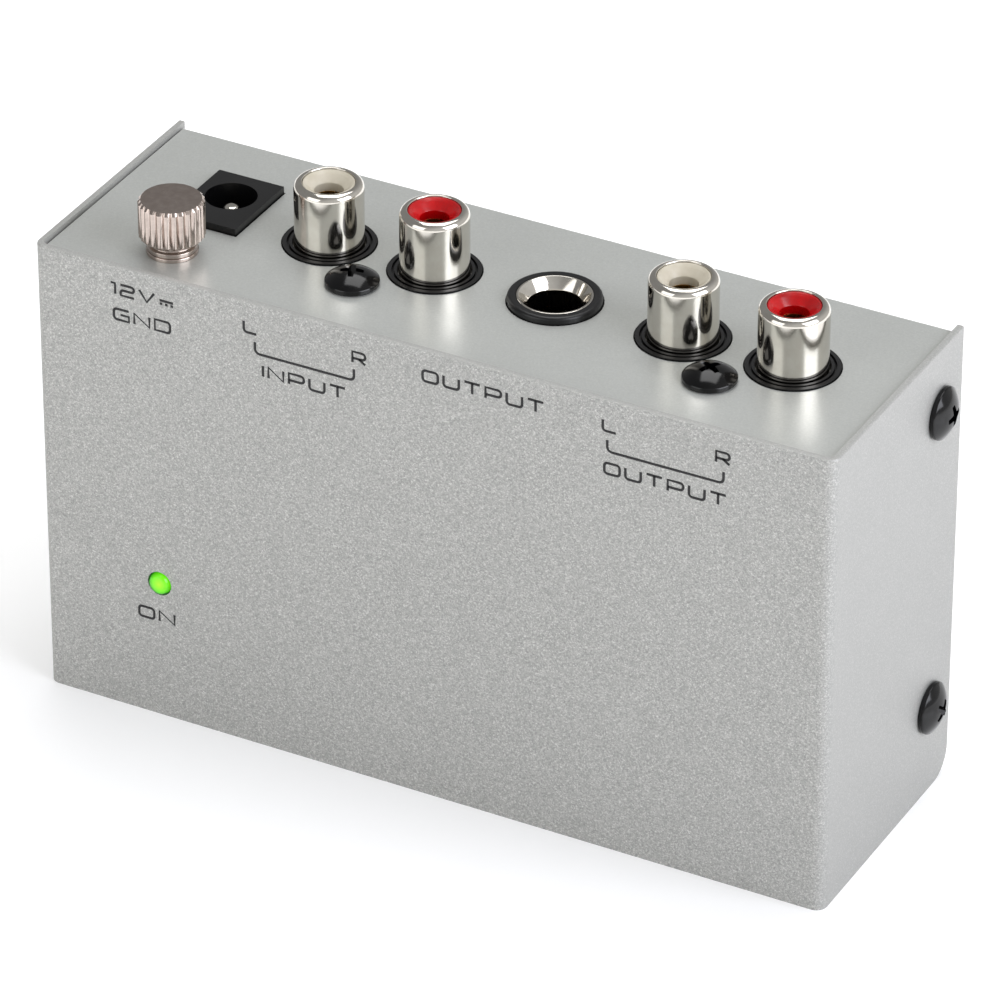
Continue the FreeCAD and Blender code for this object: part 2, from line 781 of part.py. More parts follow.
def make_rca_housing(label, pair):
    """A moulded housing for two phono sockets, seated on the board and behind the panel."""
    body = new_body(label)
    front = SCREW_AXIS + " - housing_margin"
    drop = UNDER + " - housing_drop"
    block_outline = rectangle(body, "block_outline", "XY_Plane", (pair + " - housing_half", front),
                              (pair + " + housing_half", BOARD), drop)
    pad(body, "block_pad", block_outline, "housing_drop")
    front_face = board_at() - size("panel_screw_height") - size("housing_margin")
    soften(body, "front_corners", "Fillet", "housing_round",
           lambda edge: flat_at(edge, "y", front_face) and near(edge.Length, size("housing_drop")))
    centres = [(pair + side, RCA_AXIS) for side in (" - rca_pitch / 2", " + rca_pitch / 2")]
    rounds = [centre + ("collar_radius",) for centre in centres]
    collars = circles(body, "collar_rounds", "XY_Plane", rounds, UNDER)
    pad(body, "collars", collars, "sheet + collar_proud")
    edges = ("collar_groove_outer", "collar_groove_inner")
    rounds = [centre + (edge,) for centre in centres for edge in edges]
    sketch = circles(body, "groove_rounds", "XY_Plane", rounds, PANEL + " + collar_proud")
    pocket(body, "groove_cut", sketch, "collar_groove_depth")
    bores = [centre + ("shell_radius + shell_flange + nest_clearance",) for centre in centres]
    pocket(body, "shell_bores", circles(body, "bore_rounds", "XY_Plane", bores, PANEL + " + 2 * sheet"),
           "3 * sheet + shell_seat")
    tap = [(pair, SCREW_AXIS, "screw_radius + tap_clearance")]
    pocket(body, "screw_bore", circles(body, "screw_round", "XY_Plane", tap, UNDER + " + sheet"),
           "housing_drop")
    return body


def make_shell(label, along):
    """A drawn phono socket shell with a rolled lip."""
    body = new_body(label)
    top = "shell_reach"
    seat = "-(shell_seat + sheet)"
    points = [
        ("shell_radius - shell_wall", seat), ("shell_radius + shell_flange", seat),
        ("shell_radius + shell_flange", "shell_step"), ("shell_radius", "shell_step"), ("shell_radius", top),
        ("shell_lip", top), ("shell_lip", top + " - shell_wall"),
        ("shell_radius - shell_wall", top + " - shell_wall"),
    ]
    revolve(body, "drawn", outline(body, "profile", "XZ_Plane", points))
    reach = size("shell_reach")
    soften(body, "lip_round", "Fillet", "shell_round",
           lambda edge: flat_at(edge, "z", reach) and near(edge.BoundBox.XMax, size("shell_radius")))
    soften(body, "inner_round", "Fillet", "shell_round - shell_wall",
           lambda edge: flat_at(edge, "z", reach - size("shell_wall"))
           and near(edge.BoundBox.XMax, size("shell_radius") - size("shell_wall")))
    place(body, along, RCA_AXIS, PANEL)
    return body


def make_insulator(label, along):
    """The coloured insulator inside a shell, with a funnel for the plug's pin."""
    body = new_body(label)
    outer = "shell_radius - shell_wall - nest_clearance"
    lip = "shell_lip - nest_clearance"
    shelf = "shell_reach - shell_wall - shell_round"
    low = "-(shell_seat + sheet)"
    top = "shell_reach - insulator_dip"
    throat_top = "shell_reach - contact_dip"
    points = [
        ("insulator_throat", low), (outer, low), (outer, shelf), (lip, shelf + " + shell_round / 2"),
        (lip, top), ("insulator_mouth", top), ("insulator_funnel", throat_top + " + insulator_land"),
        ("insulator_funnel", throat_top), ("insulator_throat", throat_top),
    ]
    revolve(body, "moulded", outline(body, "profile", "XZ_Plane", points))
    place(body, along, RCA_AXIS, PANEL)
    return body


def make_contact(label, along):
    """The sprung centre contact of a phono socket, slit in four at its mouth."""
    body = new_body(label)
    top = "shell_reach - contact_dip"
    low = top + " - contact_length"
    points = [("contact_bore", low), ("contact_radius", low), ("contact_radius", top), ("contact_bore", top)]
    revolve(body, "turned", outline(body, "profile", "XZ_Plane", points))
    wide, thin = "contact_radius * 2", "contact_slit / 2"
    for name, half_x, half_y in (("slit_along", wide, thin), ("slit_across", thin, wide)):
        sketch = rectangle(body, name, "XY_Plane", ("-" + half_x, "-" + half_y), (half_x, half_y), top)
        pocket(body, name + "_cut", sketch, "contact_length / 3")
    place(body, along, RCA_AXIS, PANEL)
    return body


# Quarter-inch phone socket


def make_phone_housing():
    """The moulded housing of the phone socket, hollow behind its nose."""
    body = new_body("phone_socket_case")
    axis = PHONE_AXIS
    case = rectangle(body, "case_outline", "XY_Plane", (PHONE + " - phone_half", axis + " - phone_front"),
                     (PHONE + " + phone_half", BOARD), UNDER + " - phone_drop")
    pad(body, "case_pad", case, "phone_drop")
    nose = circles(body, "nose_round", "XY_Plane", [(PHONE, axis, "nose_radius")], UNDER)
    pad(body, "nose_pad", nose, "sheet + nose_proud")
    top = panel_at() + size("nose_proud")
    soften(body, "nose_edge", "Fillet", "nose_proud / 2", lambda edge: flat_at(edge, "z", top))
    seat = circles(body, "seat_round", "XY_Plane", [(PHONE, axis, "ferrule_rim + nest_clearance")],
                   PANEL + " + 3 * nose_proud")
    pocket(body, "seat_cut", seat, "2 * nose_proud + ferrule_cone")
    tube = circles(body, "tube_round", "XY_Plane", [(PHONE, axis, "ferrule_tube + nest_clearance")],
                   PANEL + " + 2 * nose_proud")
    pocket(body, "tube_cut", tube, "nose_proud + ferrule_reach + cavity_floor")
    hollow = block("phone_hollow", "2 * cavity_half", "2 * cavity_deep",
                   "phone_drop - cavity_floor + nose_proud + sheet - ferrule_reach")
    place(hollow, PHONE + " - cavity_half", axis + " - cavity_deep", UNDER + " - phone_drop + cavity_floor")
    return cut("phone_socket_housing", body, hollow)


def make_ferrule():
    """The plated ferrule of the phone socket, with a cone that guides the plug in."""
    body = new_body("phone_socket_ferrule")
    top = "nose_proud"
    low = "nose_proud - ferrule_reach"
    points = [
        ("phone_bore", low), ("ferrule_tube", low), ("ferrule_tube", top + " - ferrule_cone"),
        ("ferrule_rim", top + " - ferrule_cone"), ("ferrule_rim", top), ("ferrule_rim - ferrule_land", top),
        ("phone_bore", top + " - ferrule_cone"),
    ]
    revolve(body, "turned", outline(body, "profile", "XZ_Plane", points))
    place(body, PHONE, PHONE_AXIS, PANEL)
    return body


def make_blade(label, side, depth):
    """A contact blade of the phone socket. It hangs from the cavity's ceiling, kinked towards the plug."""
    body = new_body(label)
    foot, foot_out = side + "blade_foot", side + "(blade_foot + blade)"
    touch, touch_out = side + "blade_touch", side + "(blade_touch + blade)"
    kink = "-" + depth
    start, end = kink + " + blade_slope", kink + " - blade_tail"
    points = [
        (foot, "0"), (foot_out, "0"), (foot_out, start), (touch_out, kink),
        (foot_out, end), (foot, end), (touch, kink), (foot, start),
    ]
    sketch = outline(body, "profile", "XZ_Plane", points, "-blade_width / 2")
    pad(body, "blade_pad", sketch, "blade_width")
    place(body, PHONE, PHONE_AXIS, PANEL + " + nose_proud - ferrule_reach")
    return body


# Power socket


def make_power_housing():
    """The moulded housing of the power socket, with its face through the panel."""
    body = new_body("power_socket_housing")
    axis = POWER_AXIS
    top = PANEL + " + power_proud"
    face = rectangle(body, "face_outline", "XY_Plane", (POWER + " - power_half", axis + " - power_front"),
                     (POWER + " + power_half", axis + " + power_back"), top + " - power_length")
    pad(body, "face_pad", face, "power_length")
    seat = rectangle(body, "seat_outline", "XY_Plane", (POWER + " - power_half", axis),
                     (POWER + " + power_half", BOARD), top + " - power_length")
    pad(body, "seat_pad", seat, "power_length - power_proud - sheet")
    bore = circles(body, "bore_round", "XY_Plane", [(POWER, axis, "power_bore")], top + " + 1")
    pocket(body, "bore_cut", bore, "power_bore_depth + 1")
    pin_round = [(POWER, axis, "power_pin_tail + nest_clearance")]
    pin_hole = circles(body, "pin_round", "XY_Plane", pin_round, top)
    pocket(body, "pin_cut", pin_hole, "power_length + 1")
    half_slot = "(power_blade_width / 2 + power_slot_side)"
    slot = rectangle(
        body, "slot_outline", "XY_Plane",
        (POWER + " - " + half_slot, axis + " - power_blade_foot - power_slot_room"),
        (POWER + " + " + half_slot, axis), top + " - power_proud - sheet")
    pocket(body, "slot_cut", slot, "power_bore_depth - power_proud - sheet")
    return body


def make_power_pin():
    """The centre pin of the power socket, with a rounded nose."""
    body = new_body("power_socket_pin")
    high = "power_proud - power_pin_dip"
    seat = "power_proud - power_bore_depth"
    low = "power_proud - power_length - power_pin_proud"
    points = [("0", low), ("power_pin_tail", low), ("power_pin_tail", seat), ("power_pin", seat),
              ("power_pin", high), ("0", high)]
    revolve(body, "turned", outline(body, "profile", "XZ_Plane", points))
    nose = size("power_proud") - size("power_pin_dip")
    soften(body, "nose_round", "Fillet", "power_pin_nose", lambda edge: flat_at(edge, "z", nose))
    place(body, POWER, POWER_AXIS, PANEL)
    return body


def make_power_blade():
    """The sprung outer contact of the power socket."""
    body = new_body("power_socket_spring")
    foot = "-power_blade_foot"
    touch = "-power_blade_touch"
    start, kink = "power_blade_start", "power_blade_kink"
    points = [
        (foot, "0"), (foot + " + blade", "0"), (foot + " + blade", start), (touch, kink),
        (foot + " + blade", "power_blade_length"), (foot, "power_blade_length"), (touch + " - blade", kink),
        (foot, start),
    ]
    sketch = outline(body, "profile", "YZ_Plane", points, "-power_blade_width / 2")
    pad(body, "blade_pad", sketch, "power_blade_width")
    place(body, POWER, POWER_AXIS, PANEL + " + power_proud - power_bore_depth")
    return body


# Ground terminal


def make_thumbscrew():
    """The knurled head of the ground terminal, bored for its stud."""
    body = new_body("ground_thumbscrew")
    neck_low = "washer_sheet"
    head_low = "washer_sheet + knob_neck_height"
    head_high = head_low + " + knob_height"
    bore_top = neck_low + " + stud_grip"
    points = [
        ("0", bore_top), ("ground_shank", bore_top), ("ground_shank", neck_low),
        ("knob_neck", neck_low), ("knob_neck", head_low),
        ("knob_radius - knob_chamfer", head_low), ("knob_radius", head_low + " + knob_chamfer"),
        ("knob_radius", head_high + " - knob_chamfer"), ("knob_radius - knob_chamfer", head_high),
        ("0", head_high),
    ]
    revolve(body, "turned", outline(body, "profile", "XZ_Plane", points))
    flute = circles(
        body, "flute_round", "XY_Plane", [("knob_radius + knurl_radius / 3", "0", "knurl_radius")],
        head_high + " + 1")
    groove = pocket(body, "flute", flute, "knob_height - knob_chamfer + 1")
    pattern = body.newObject("PartDesign::PolarPattern", "flutes")
    pattern.Originals = [groove]
    pattern.Axis = (origin_plane(body, "Z_Axis"), [""])
    pattern.Angle = 360.0
    pattern.Occurrences = KNURL_COUNT
    body.Tip = pattern
    doc.recompute()
    place(body, GROUND, GROUND_AXIS, PANEL)
    return body


def make_stud():
    """The stud that is pressed into the thumbscrew's head and runs in the nut."""
    stud = cylinder("ground_stud", "ground_shank", "ground_shank_length + stud_grip")
    place(stud, GROUND, GROUND_AXIS, PANEL + " + washer_sheet - ground_shank_length")
    return stud


def make_washer():
    """The captive washer under the thumbscrew."""
    body = new_body("ground_washer")
    bore = "ground_shank + thread_clearance"
    points = [(bore, "0"), ("washer_radius", "0"), ("washer_radius", "washer_sheet"), (bore, "washer_sheet")]
    revolve(body, "stamped", outline(body, "profile", "XZ_Plane", points))
    place(body, GROUND, GROUND_AXIS, PANEL)
    return body


def make_nut():
    """The nut behind the panel that the thumbscrew runs in."""
    blank = doc.addObject("Part::Prism", "nut_blank")
    blank.Polygon = 6
    tie(blank, "Circumradius", "nut_flats / sqrt(3)")
    tie(blank, "Height", "nut_height")
    bore = cylinder("nut_bore", "ground_shank + thread_clearance", "nut_height + 2")
    low = UNDER + " - lug_sheet - nut_height"
    place(blank, GROUND, GROUND_AXIS, low)
    place(bore, GROUND, GROUND_AXIS, low + " - 1")
    return cut("ground_nut", blank, bore)


def make_lug():
    """The solder lug between the nut and the panel."""
    body = new_body("ground_lug")
    ring = circles(body, "ring_round", "XY_Plane", [("0", "0", "lug_radius")], "-lug_sheet")
    pad(body, "ring_pad", ring, "lug_sheet")
    tab = rectangle(body, "tab_outline", "XY_Plane", ("-lug_reach - lug_tab", "-lug_tab"), ("0", "lug_tab"),
                    "-lug_sheet")
    pad(body, "tab_pad", tab, "lug_sheet")
    hole = circles(body, "hole_round", "XY_Plane", [("0", "0", "ground_shank + screw_clearance")], "1")
    pocket(body, "hole_cut", hole)
    place(body, GROUND, GROUND_AXIS, UNDER)
    return body


def make_wire():
    """The ground wire, from the lug's tab down and back to the board."""
    along = GROUND + " - lug_reach"
    front = GROUND_AXIS
    top = UNDER + " - lug_sheet"
    run_length = "%s - (%s) - wire_bend" % (BOARD, front)
    drop = cylinder("wire_drop_run", "wire_radius", "wire_drop - wire_bend")
    place(drop, along, front, top + " - wire_drop + wire_bend")
    elbow = doc.addObject("Part::Torus", "wire_elbow")
    tie(elbow, "Radius1", "wire_bend")
    tie(elbow, "Radius2", "wire_radius")
    elbow.Angle3 = QUARTER_TURN
    forward, down, aside = FreeCAD.Vector(0, -1, 0), FreeCAD.Vector(0, 0, -1), FreeCAD.Vector(1, 0, 0)
    elbow.Placement.Rotation = FreeCAD.Rotation(forward, down, aside, "ZXY")
    place(elbow, along, front + " + wire_bend", top + " - wire_drop + wire_bend")
    run = cylinder("wire_back_run", "wire_radius", run_length, "y")
    place(run, along, front + " + wire_bend", top + " - wire_drop")
    return fused("ground_wire", [drop, elbow, run])


# Power light


def make_led():
    """The round power light, domed in front and flanged behind."""
    body = new_body("power_light")
    points = [
        ("0", "0"), ("led_flange", "0"), ("led_flange", "led_flange_height"),
        ("led_radius", "led_flange_height"), ("led_radius", "led_length"), ("0", "led_length"),
    ]
    revolve(body, "moulded", outline(body, "profile", "XZ_Plane", points))
    length = size("led_length")
    soften(body, "dome", "Fillet", "led_dome", lambda edge: flat_at(edge, "z", length))
    body.Placement.Rotation = FreeCAD.Rotation(FreeCAD.Vector(1, 0, 0), 90)
    place(body, LIGHT, LIGHT_BACK, "led_height")
    return body


def make_spacer():
    """The tube that holds the light at its distance from the board."""
    length = "%s - %s" % (BOARD, LIGHT_BACK)
    outer = cylinder("spacer_outer", "spacer_radius", length, "y")
    inner = cylinder("spacer_inner", "spacer_bore", length, "y")
    for piece in (outer, inner):
        place(piece, LIGHT, LIGHT_BACK, "led_height")
    return cut("light_spacer", outer, inner)


def make_leads():
    """The two leads of the light, from its back through the board."""
    leads = []
    for side in (" - ", " + "):
        length = "%s - %s + lead_tail" % (BOARD_BACK, LIGHT_BACK)
        lead = cylinder("lead_%d" % len(leads), "lead_radius", length, "y")
        place(lead, LIGHT + side + "lead_pitch / 2", LIGHT_BACK, "led_height")
        leads.append(lead)
    return group("light_leads", leads)


nodes = [
    make_cover(), make_chassis(), make_side_screws(), make_panel_screws(), make_board_screws(),
    make_standoffs(), make_feet(), make_board(), make_small_capacitors(), make_reservoir(),
    make_film_capacitors(), make_resistors(), make_diode(), make_chips(), make_regulator(),
    make_rca_housing("input_housing", INPUT), make_rca_housing("output_housing", OUTPUT),
    make_phone_housing(), make_ferrule(),
    make_blade("phone_tip_spring", "", "tip_blade_depth"),
    make_blade("phone_ring_spring", "-", "ring_blade_depth"),
    make_power_housing(), make_power_pin(), make_power_blade(),
    make_thumbscrew(), make_stud(), make_washer(), make_nut(), make_lug(), make_wire(),
    make_led(), make_spacer(), make_leads(),
]
for name, along in zip(("input_left", "input_right", "output_left", "output_right"), rca_places()):
    nodes.append(make_shell(name + "_shell", along))
    nodes.append(make_insulator(name + "_insulator", along))
    nodes.append(make_contact(name + "_contact", along))
doc.recompute()

for thing in doc.Objects:
    if "Invalid" in thing.State or "Error" in thing.State:
        raise ValueError("%s did not recompute" % thing.Label)
for node in nodes:
    if node.Shape.isNull() or not node.Shape.isValid():
        raise ValueError("%s has no valid shape" % node.Label)

os.makedirs("parts", exist_ok=True)
for node in nodes:
    node.Shape.exportStep("parts/%s.step" % node.Label)
    print("%-26s %d solid(s) %9.2f mm3" % (node.Label, len(node.Shape.Solids), node.Shape.Volume))
print("%d nodes" % len(nodes))
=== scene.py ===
"""Dresses a small phono preamp: a bent sheet box with phono sockets, a phone socket and a ground terminal.

Lengths in the classes are millimetres, and become metres where a mesh is made.
"""

from __future__ import annotations

import json
import logging
import math
from dataclasses import dataclass
from enum import Enum
from typing import Any, Iterable, Optional, Sequence

import bmesh
import bpy
from mathutils import Matrix, Quaternion, Vector

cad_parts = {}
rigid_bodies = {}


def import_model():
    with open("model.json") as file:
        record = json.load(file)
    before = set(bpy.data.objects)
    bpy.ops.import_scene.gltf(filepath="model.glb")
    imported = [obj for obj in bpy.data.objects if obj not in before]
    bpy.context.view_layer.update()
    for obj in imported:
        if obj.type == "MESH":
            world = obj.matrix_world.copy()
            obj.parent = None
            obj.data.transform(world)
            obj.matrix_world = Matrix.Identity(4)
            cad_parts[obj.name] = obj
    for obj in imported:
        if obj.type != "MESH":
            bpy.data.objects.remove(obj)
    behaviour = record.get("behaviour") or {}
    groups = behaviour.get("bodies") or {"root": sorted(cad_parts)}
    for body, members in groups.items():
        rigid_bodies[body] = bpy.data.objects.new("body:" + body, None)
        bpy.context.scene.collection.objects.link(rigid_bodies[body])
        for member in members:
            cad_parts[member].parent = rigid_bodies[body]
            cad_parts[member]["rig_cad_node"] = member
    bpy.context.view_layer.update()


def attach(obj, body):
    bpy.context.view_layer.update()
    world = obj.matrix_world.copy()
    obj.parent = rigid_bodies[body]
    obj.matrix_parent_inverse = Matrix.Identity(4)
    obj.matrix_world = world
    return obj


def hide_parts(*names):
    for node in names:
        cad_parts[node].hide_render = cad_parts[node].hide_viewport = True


LOG = logging.getLogger("phono_preamp")
MM = 0.001
WHITE = (1.0, 1.0, 1.0, 1.0)
BLACK = (0.0, 0.0, 0.0, 1.0)
Point2 = tuple[float, float]
Point3 = tuple[float, float, float]
Tree = bpy.types.NodeTree
Socket = bpy.types.NodeSocket
Thing = bpy.types.Object


@dataclass(frozen=True)
class BoxPlan:
    """Where the box's faces and fittings stand, in the row frame."""

    half_width: float = 52.0
    front: float = -17.5
    panel: float = 60.4
    socket_y: float = 0.1
    left_sockets: tuple[float, float] = (-22.1, 24.2)
    right_sockets: tuple[float, float] = (-8.1, 38.2)
    phone: Point2 = (7.5, 0.4)
    ground: Point2 = (-37.3, -10.3)
    light: Point2 = (-36.0, 18.7)
    panel_screws: tuple[Point2, Point2] = ((-15.1, -7.1), (31.2, -7.1))
    side_screw_y: float = 10.8
    side_screw_heights: tuple[float, float] = (12.0, 52.5)


PLAN = BoxPlan()


def srgb(code: str) -> tuple[float, float, float, float]:
    """Turns an sRGB hex colour to linear.

    Args:
        code: Six hex digits.

    Returns:
        Linear red, green and blue, and an alpha of one.
    """
    parts = [int(code[i : i + 2], 16) / 255.0 for i in (0, 2, 4)]
    red, green, blue = (c / 12.92 if c <= 0.04045 else ((c + 0.055) / 1.055) ** 2.4 for c in parts)
    return red, green, blue, 1.0


def add(tree: Tree, kind: str, settings: Optional[dict[str, Any]] = None,
        inputs: Optional[dict[Any, Any]] = None) -> bpy.types.Node:
    """Adds a node with its settings and its linked or constant inputs.

    Args:
        tree: The tree that gets the node.
        kind: The node's type name.
        settings: Properties of the node.
        inputs: Sockets by name or number, each with a constant or with the output that feeds it.

    Returns:
        The new node.
    """
    node = tree.nodes.new(kind)
    for name, value in (settings or {}).items():
        setattr(node, name, value)
    for key, value in (inputs or {}).items():
        if isinstance(value, Socket):
            tree.links.new(value, node.inputs[key])
        else:
            node.inputs[key].default_value = value
    return node


def emptied(owner: bpy.types.ID) -> Tree:
    """Starts the node tree of a material or a world.

    Args:
        owner: The material or world.

    Returns:
        Its empty tree.
    """
    owner.use_nodes = True
    owner.node_tree.nodes.clear()
    return owner.node_tree


def sums(tree: Tree, operation: str, *values: Any) -> Socket:
    """Adds a sum on numbers.

    Args:
        tree: The tree that gets the node.
        operation: The sum's name.
        values: Its constants, or the outputs that feed it.

    Returns:
        The result's socket.
    """
    return add(tree, "ShaderNodeMath", {"operation": operation}, dict(enumerate(values))).outputs[0]


def length(tree: Tree, vector: Socket) -> Socket:
    """Adds the length of a vector.

    Args:
        tree: The tree that gets the node.
        vector: The vector's socket.

    Returns:
        The result's socket.
    """
    return add(tree, "ShaderNodeVectorMath", {"operation": "LENGTH"}, {0: vector}).outputs["Value"]


def spread(tree: Tree, value: Socket, start: Any, stop: Any, low: float, high: float,
           shape: str = "LINEAR") -> Socket:
    """Maps a span of a value to a span of numbers, and holds it at both ends.

    Args:
        tree: The tree that gets the node.
        value: The socket that is mapped.
        start: The value that gives the low number.
        stop: The value that gives the high number.
        low: The number at the start.
        high: The number at the stop.
        shape: How it goes from one to the other.

    Returns:
        The result's socket.
    """
    span = {"Value": value, "From Min": start, "From Max": stop, "To Min": low, "To Max": high}
    return add(tree, "ShaderNodeMapRange", {"interpolation_type": shape}, span).outputs[0]


def mixed(tree: Tree, factor: Any, low: Any, high: Any) -> Socket:
    """Mixes two colours.

    Args:
        tree: The tree that gets the node.
        factor: The share of the second colour.
        low: The first colour.
        high: The second colour.

    Returns:
        The mixed colour's socket.
    """
    return add(tree, "ShaderNodeMix", {"data_type": "RGBA"}, {0: factor, 6: low, 7: high}).outputs[2]


def in_place(tree: Tree) -> Socket:
    """Adds the Object coordinates, which are metres in the row frame.

    Args:
        tree: The tree that gets the node.

    Returns:
        The coordinates' socket.
    """
    return add(tree, "ShaderNodeTexCoord").outputs["Object"]


# Finishes


# A cloud of wear is this many grains wide
BROAD_GRAINS = 14.0
# The span of a noise that its tones are spread over, and the wider one for the sheen, which shows no rings
GRAIN_SPAN = (0.55, 0.95)
CLOUD_SPAN = (0.1, 0.9)


@dataclass(frozen=True)
class Finish:
    """A surface with a grain: its colour, sheen and height vary by a noise of a real size."""

    name: str
    colour: str
    shade: str
    roughness: float
    metallic: float = 0.0
    grain_mm: float = 0.6
    relief_mm: float = 0.004
    roughness_swing: float = 0.08
    coat: float = 0.0
    ior: float = 1.5

    def material(self) -> bpy.types.Material:
        """Makes the material on its first use, and finds it after that.

        Returns:
            The material.
        """
        found = bpy.data.materials.get(self.name)
        if found is not None:
            return found
        made = bpy.data.materials.new(self.name)
        tree = emptied(made)
        made.diffuse_color = srgb(self.colour)
        constants: dict[Any, Any] = {"Metallic": self.metallic, "Coat Weight": self.coat}
        if self.metallic < 1.0:
            constants["IOR"] = self.ior
        shader = add(tree, "ShaderNodeBsdfPrincipled", inputs=constants)
        add(tree, "ShaderNodeOutputMaterial", inputs={"Surface": shader.outputs[0]})
        self.dress(tree, shader)
        return made

    def noise(self, tree: Tree, size_mm: float, detail: float) -> Socket:
        """Adds a noise on Object coordinates.

        Args:
            tree: The material's tree.
            size_mm: The size of the noise's patches.
            detail: Its finer octaves.

        Returns:
            The noise's socket.
        """
        scale = 1.0 / (size_mm * MM)
        grain = {"Vector": in_place(tree), "Scale": scale, "Detail": detail, "Roughness": 0.6}
        return add(tree, "ShaderNodeTexNoise", inputs=grain).outputs[0]

    def weather(self, tree: Tree, shader: bpy.types.Node, colour: Socket, cloud: Socket, height: Socket,
                strength: float) -> None:
        """Links a colour, a cloudy sheen and a fine height to the shader.

        Args:
            tree: The material's tree.
            shader: Its principled shader.
            colour: The base colour.
            cloud: The noise that the roughness follows.
            height: The noise that the height follows.
            strength: The share of the height that shows.
        """
        swing = self.roughness_swing
        sheen = spread(tree, cloud, *CLOUD_SPAN, self.roughness - swing, self.roughness + swing)
        bump = add(tree, "ShaderNodeBump",
                   inputs={"Height": height, "Distance": self.relief_mm * MM, "Strength": strength})
        for name, socket in (("Base Color", colour), ("Roughness", sheen), ("Normal", bump.outputs[0])):
            tree.links.new(socket, shader.inputs[name])

    def dress(self, tree: Tree, shader: bpy.types.Node) -> None:
        """Links the grain to the shader's colour, roughness and height.

        Args:
            tree: The material's tree.
            shader: Its principled shader.
        """
        grain = self.noise(tree, self.grain_mm, 3.0)
        broad = self.noise(tree, self.grain_mm * BROAD_GRAINS, 1.0)
        tone = spread(tree, sums(tree, "MULTIPLY_ADD", broad, 0.5, grain), *GRAIN_SPAN, 0.0, 1.0)
        self.weather(tree, shader, mixed(tree, tone, srgb(self.shade), srgb(self.colour)), broad, grain, 0.8)


@dataclass(frozen=True)
class SprayedMetallic(Finish):
    """Silver spray: flakes in a clear binder mottle the colour, and the brightest cells are painted glints.
    """

    flake_mm: float = 0.16
    # The painted glints' share of the colour, and the share of them left on sides and cut edges
    painted_glint: float = 0.35
    side_glint_share: float = 0.35
    rarity: float = 4.0
    cloud_mm: float = 6.0
    tone_span: Point2 = (0.15, 1.1)

    def dress(self, tree: Tree, shader: bpy.types.Node) -> None:
        """Links flakes with painted glints, mottle and the orange peel of the spray to the shader.

        Args:
            tree: The material's tree.
            shader: Its principled shader.
        """
        # A flake is about 0.03 mm, drawn four times as coarse so that it shows in the render
        cells = {"Vector": in_place(tree), "Scale": 1.0 / (self.flake_mm * MM)}
        flakes = add(tree, "ShaderNodeTexVoronoi", inputs=cells).outputs["Color"]
        bright = add(tree, "ShaderNodeSeparateColor", inputs={0: flakes}).outputs[0]
        mottle = self.noise(tree, self.grain_mm, 2.0)
        # The rare brightest flake cells are painted glints, set in the colour
        level = sums(tree, "MULTIPLY_ADD", sums(tree, "POWER", bright, self.rarity), self.painted_glint, mottle)
        # Painted glints, full on front and back faces and fainter on sides and cut edges, as lamps glint
        normal = add(tree, "ShaderNodeNewGeometry").outputs["Normal"]
        facing = add(tree, "ShaderNodeSeparateXYZ", inputs={0: normal}).outputs[1]
        weight = spread(tree, sums(tree, "ABSOLUTE", facing), 0.0, 1.0, self.side_glint_share, 1.0)
        eased = sums(tree, "MULTIPLY_ADD", sums(tree, "SUBTRACT", level, 0.5), weight, 0.5)
        tone = spread(tree, eased, *self.tone_span, 0.0, 1.0)
        colour = mixed(tree, tone, srgb(self.shade), srgb(self.colour))
        self.weather(tree, shader, colour, self.noise(tree, self.cloud_mm, 1.0), mottle, 0.7)


@dataclass(frozen=True)
class LitLens(Finish):
    """Green epoxy lens with a lit chip behind it: brightest in the middle, deep green at the rim."""

    glow: str = "5EE800"
    heart: str = "C4FF22"
    rim: str = "1E6B0A"
    glow_strength: float = 0.85
    reach_mm: float = 1.5
    offset_mm: float = 0.25

    def dress(self, tree: Tree, shader: bpy.types.Node) -> None:
        """Links the lens's colour and glow, which fall off from the axis of the light.

        Args:
            tree: The material's tree.
            shader: Its principled shader.
        """
        super().dress(tree, shader)
        # The chip's image sits a little above and right of the axis, as a clear dome bends it
        centre = (-(PLAN.light[0] + self.offset_mm) * MM, 0.0, -(PLAN.light[1] + self.offset_mm) * MM)
        flat = {"Vector": in_place(tree), "Location": centre, "Scale": (1.0, 0.0, 1.0)}
        away = length(tree, add(tree, "ShaderNodeMapping", inputs=flat).outputs[0])
        near = spread(tree, away, 0.0, self.reach_mm * MM, 1.0, 0.0)
        edge = mixed(tree, spread(tree, near, 0.0, 0.35, 0.0, 1.0), srgb(self.rim), srgb(self.glow))
        colour = mixed(tree, sums(tree, "POWER", near, 1.6), edge, srgb(self.heart))
        tree.links.new(colour, shader.inputs["Emission Color"])
        shader.inputs["Emission Strength"].default_value = self.glow_strength


@dataclass(frozen=True)
class Banded(Finish):
    """A coat with bands across it: a capacitor sleeve's pale stripe, or a resistor's colour code."""

    band: str = "B9C0C6"
    axis: str = "Z"
    period_mm: float = 9.0
    wobble: float = 0.2
    strength: float = 0.8
    edge: Point2 = (0.93, 0.97)

    def dress(self, tree: Tree, shader: bpy.types.Node) -> None:
        """Links the bands over the coat's grain.

        Args:
            tree: The material's tree.
            shader: Its principled shader.
        """
        super().dress(tree, shader)
        scale = 1.0 / (self.period_mm * MM * math.pi)
        waves = add(tree, "ShaderNodeTexWave", {"bands_direction": self.axis},
                    {"Vector": in_place(tree), "Scale": scale, "Distortion": self.wobble}).outputs[1]
        grain = shader.inputs["Base Color"].links[0].from_socket
        mask = spread(tree, waves, *self.edge, 0.0, self.strength)
        tree.links.new(mixed(tree, mask, grain, srgb(self.band)), shader.inputs["Base Color"])


# Fine silver spray: a pale grey face with painted glints cell by cell, for its sparkle under the softboxes
COVER_SPRAY = SprayedMetallic("sprayed_cover", "DADAD6", "848482", 0.46, 0.35, 0.2, 0.005, 0.04,
                              flake_mm=0.13, painted_glint=0.5)
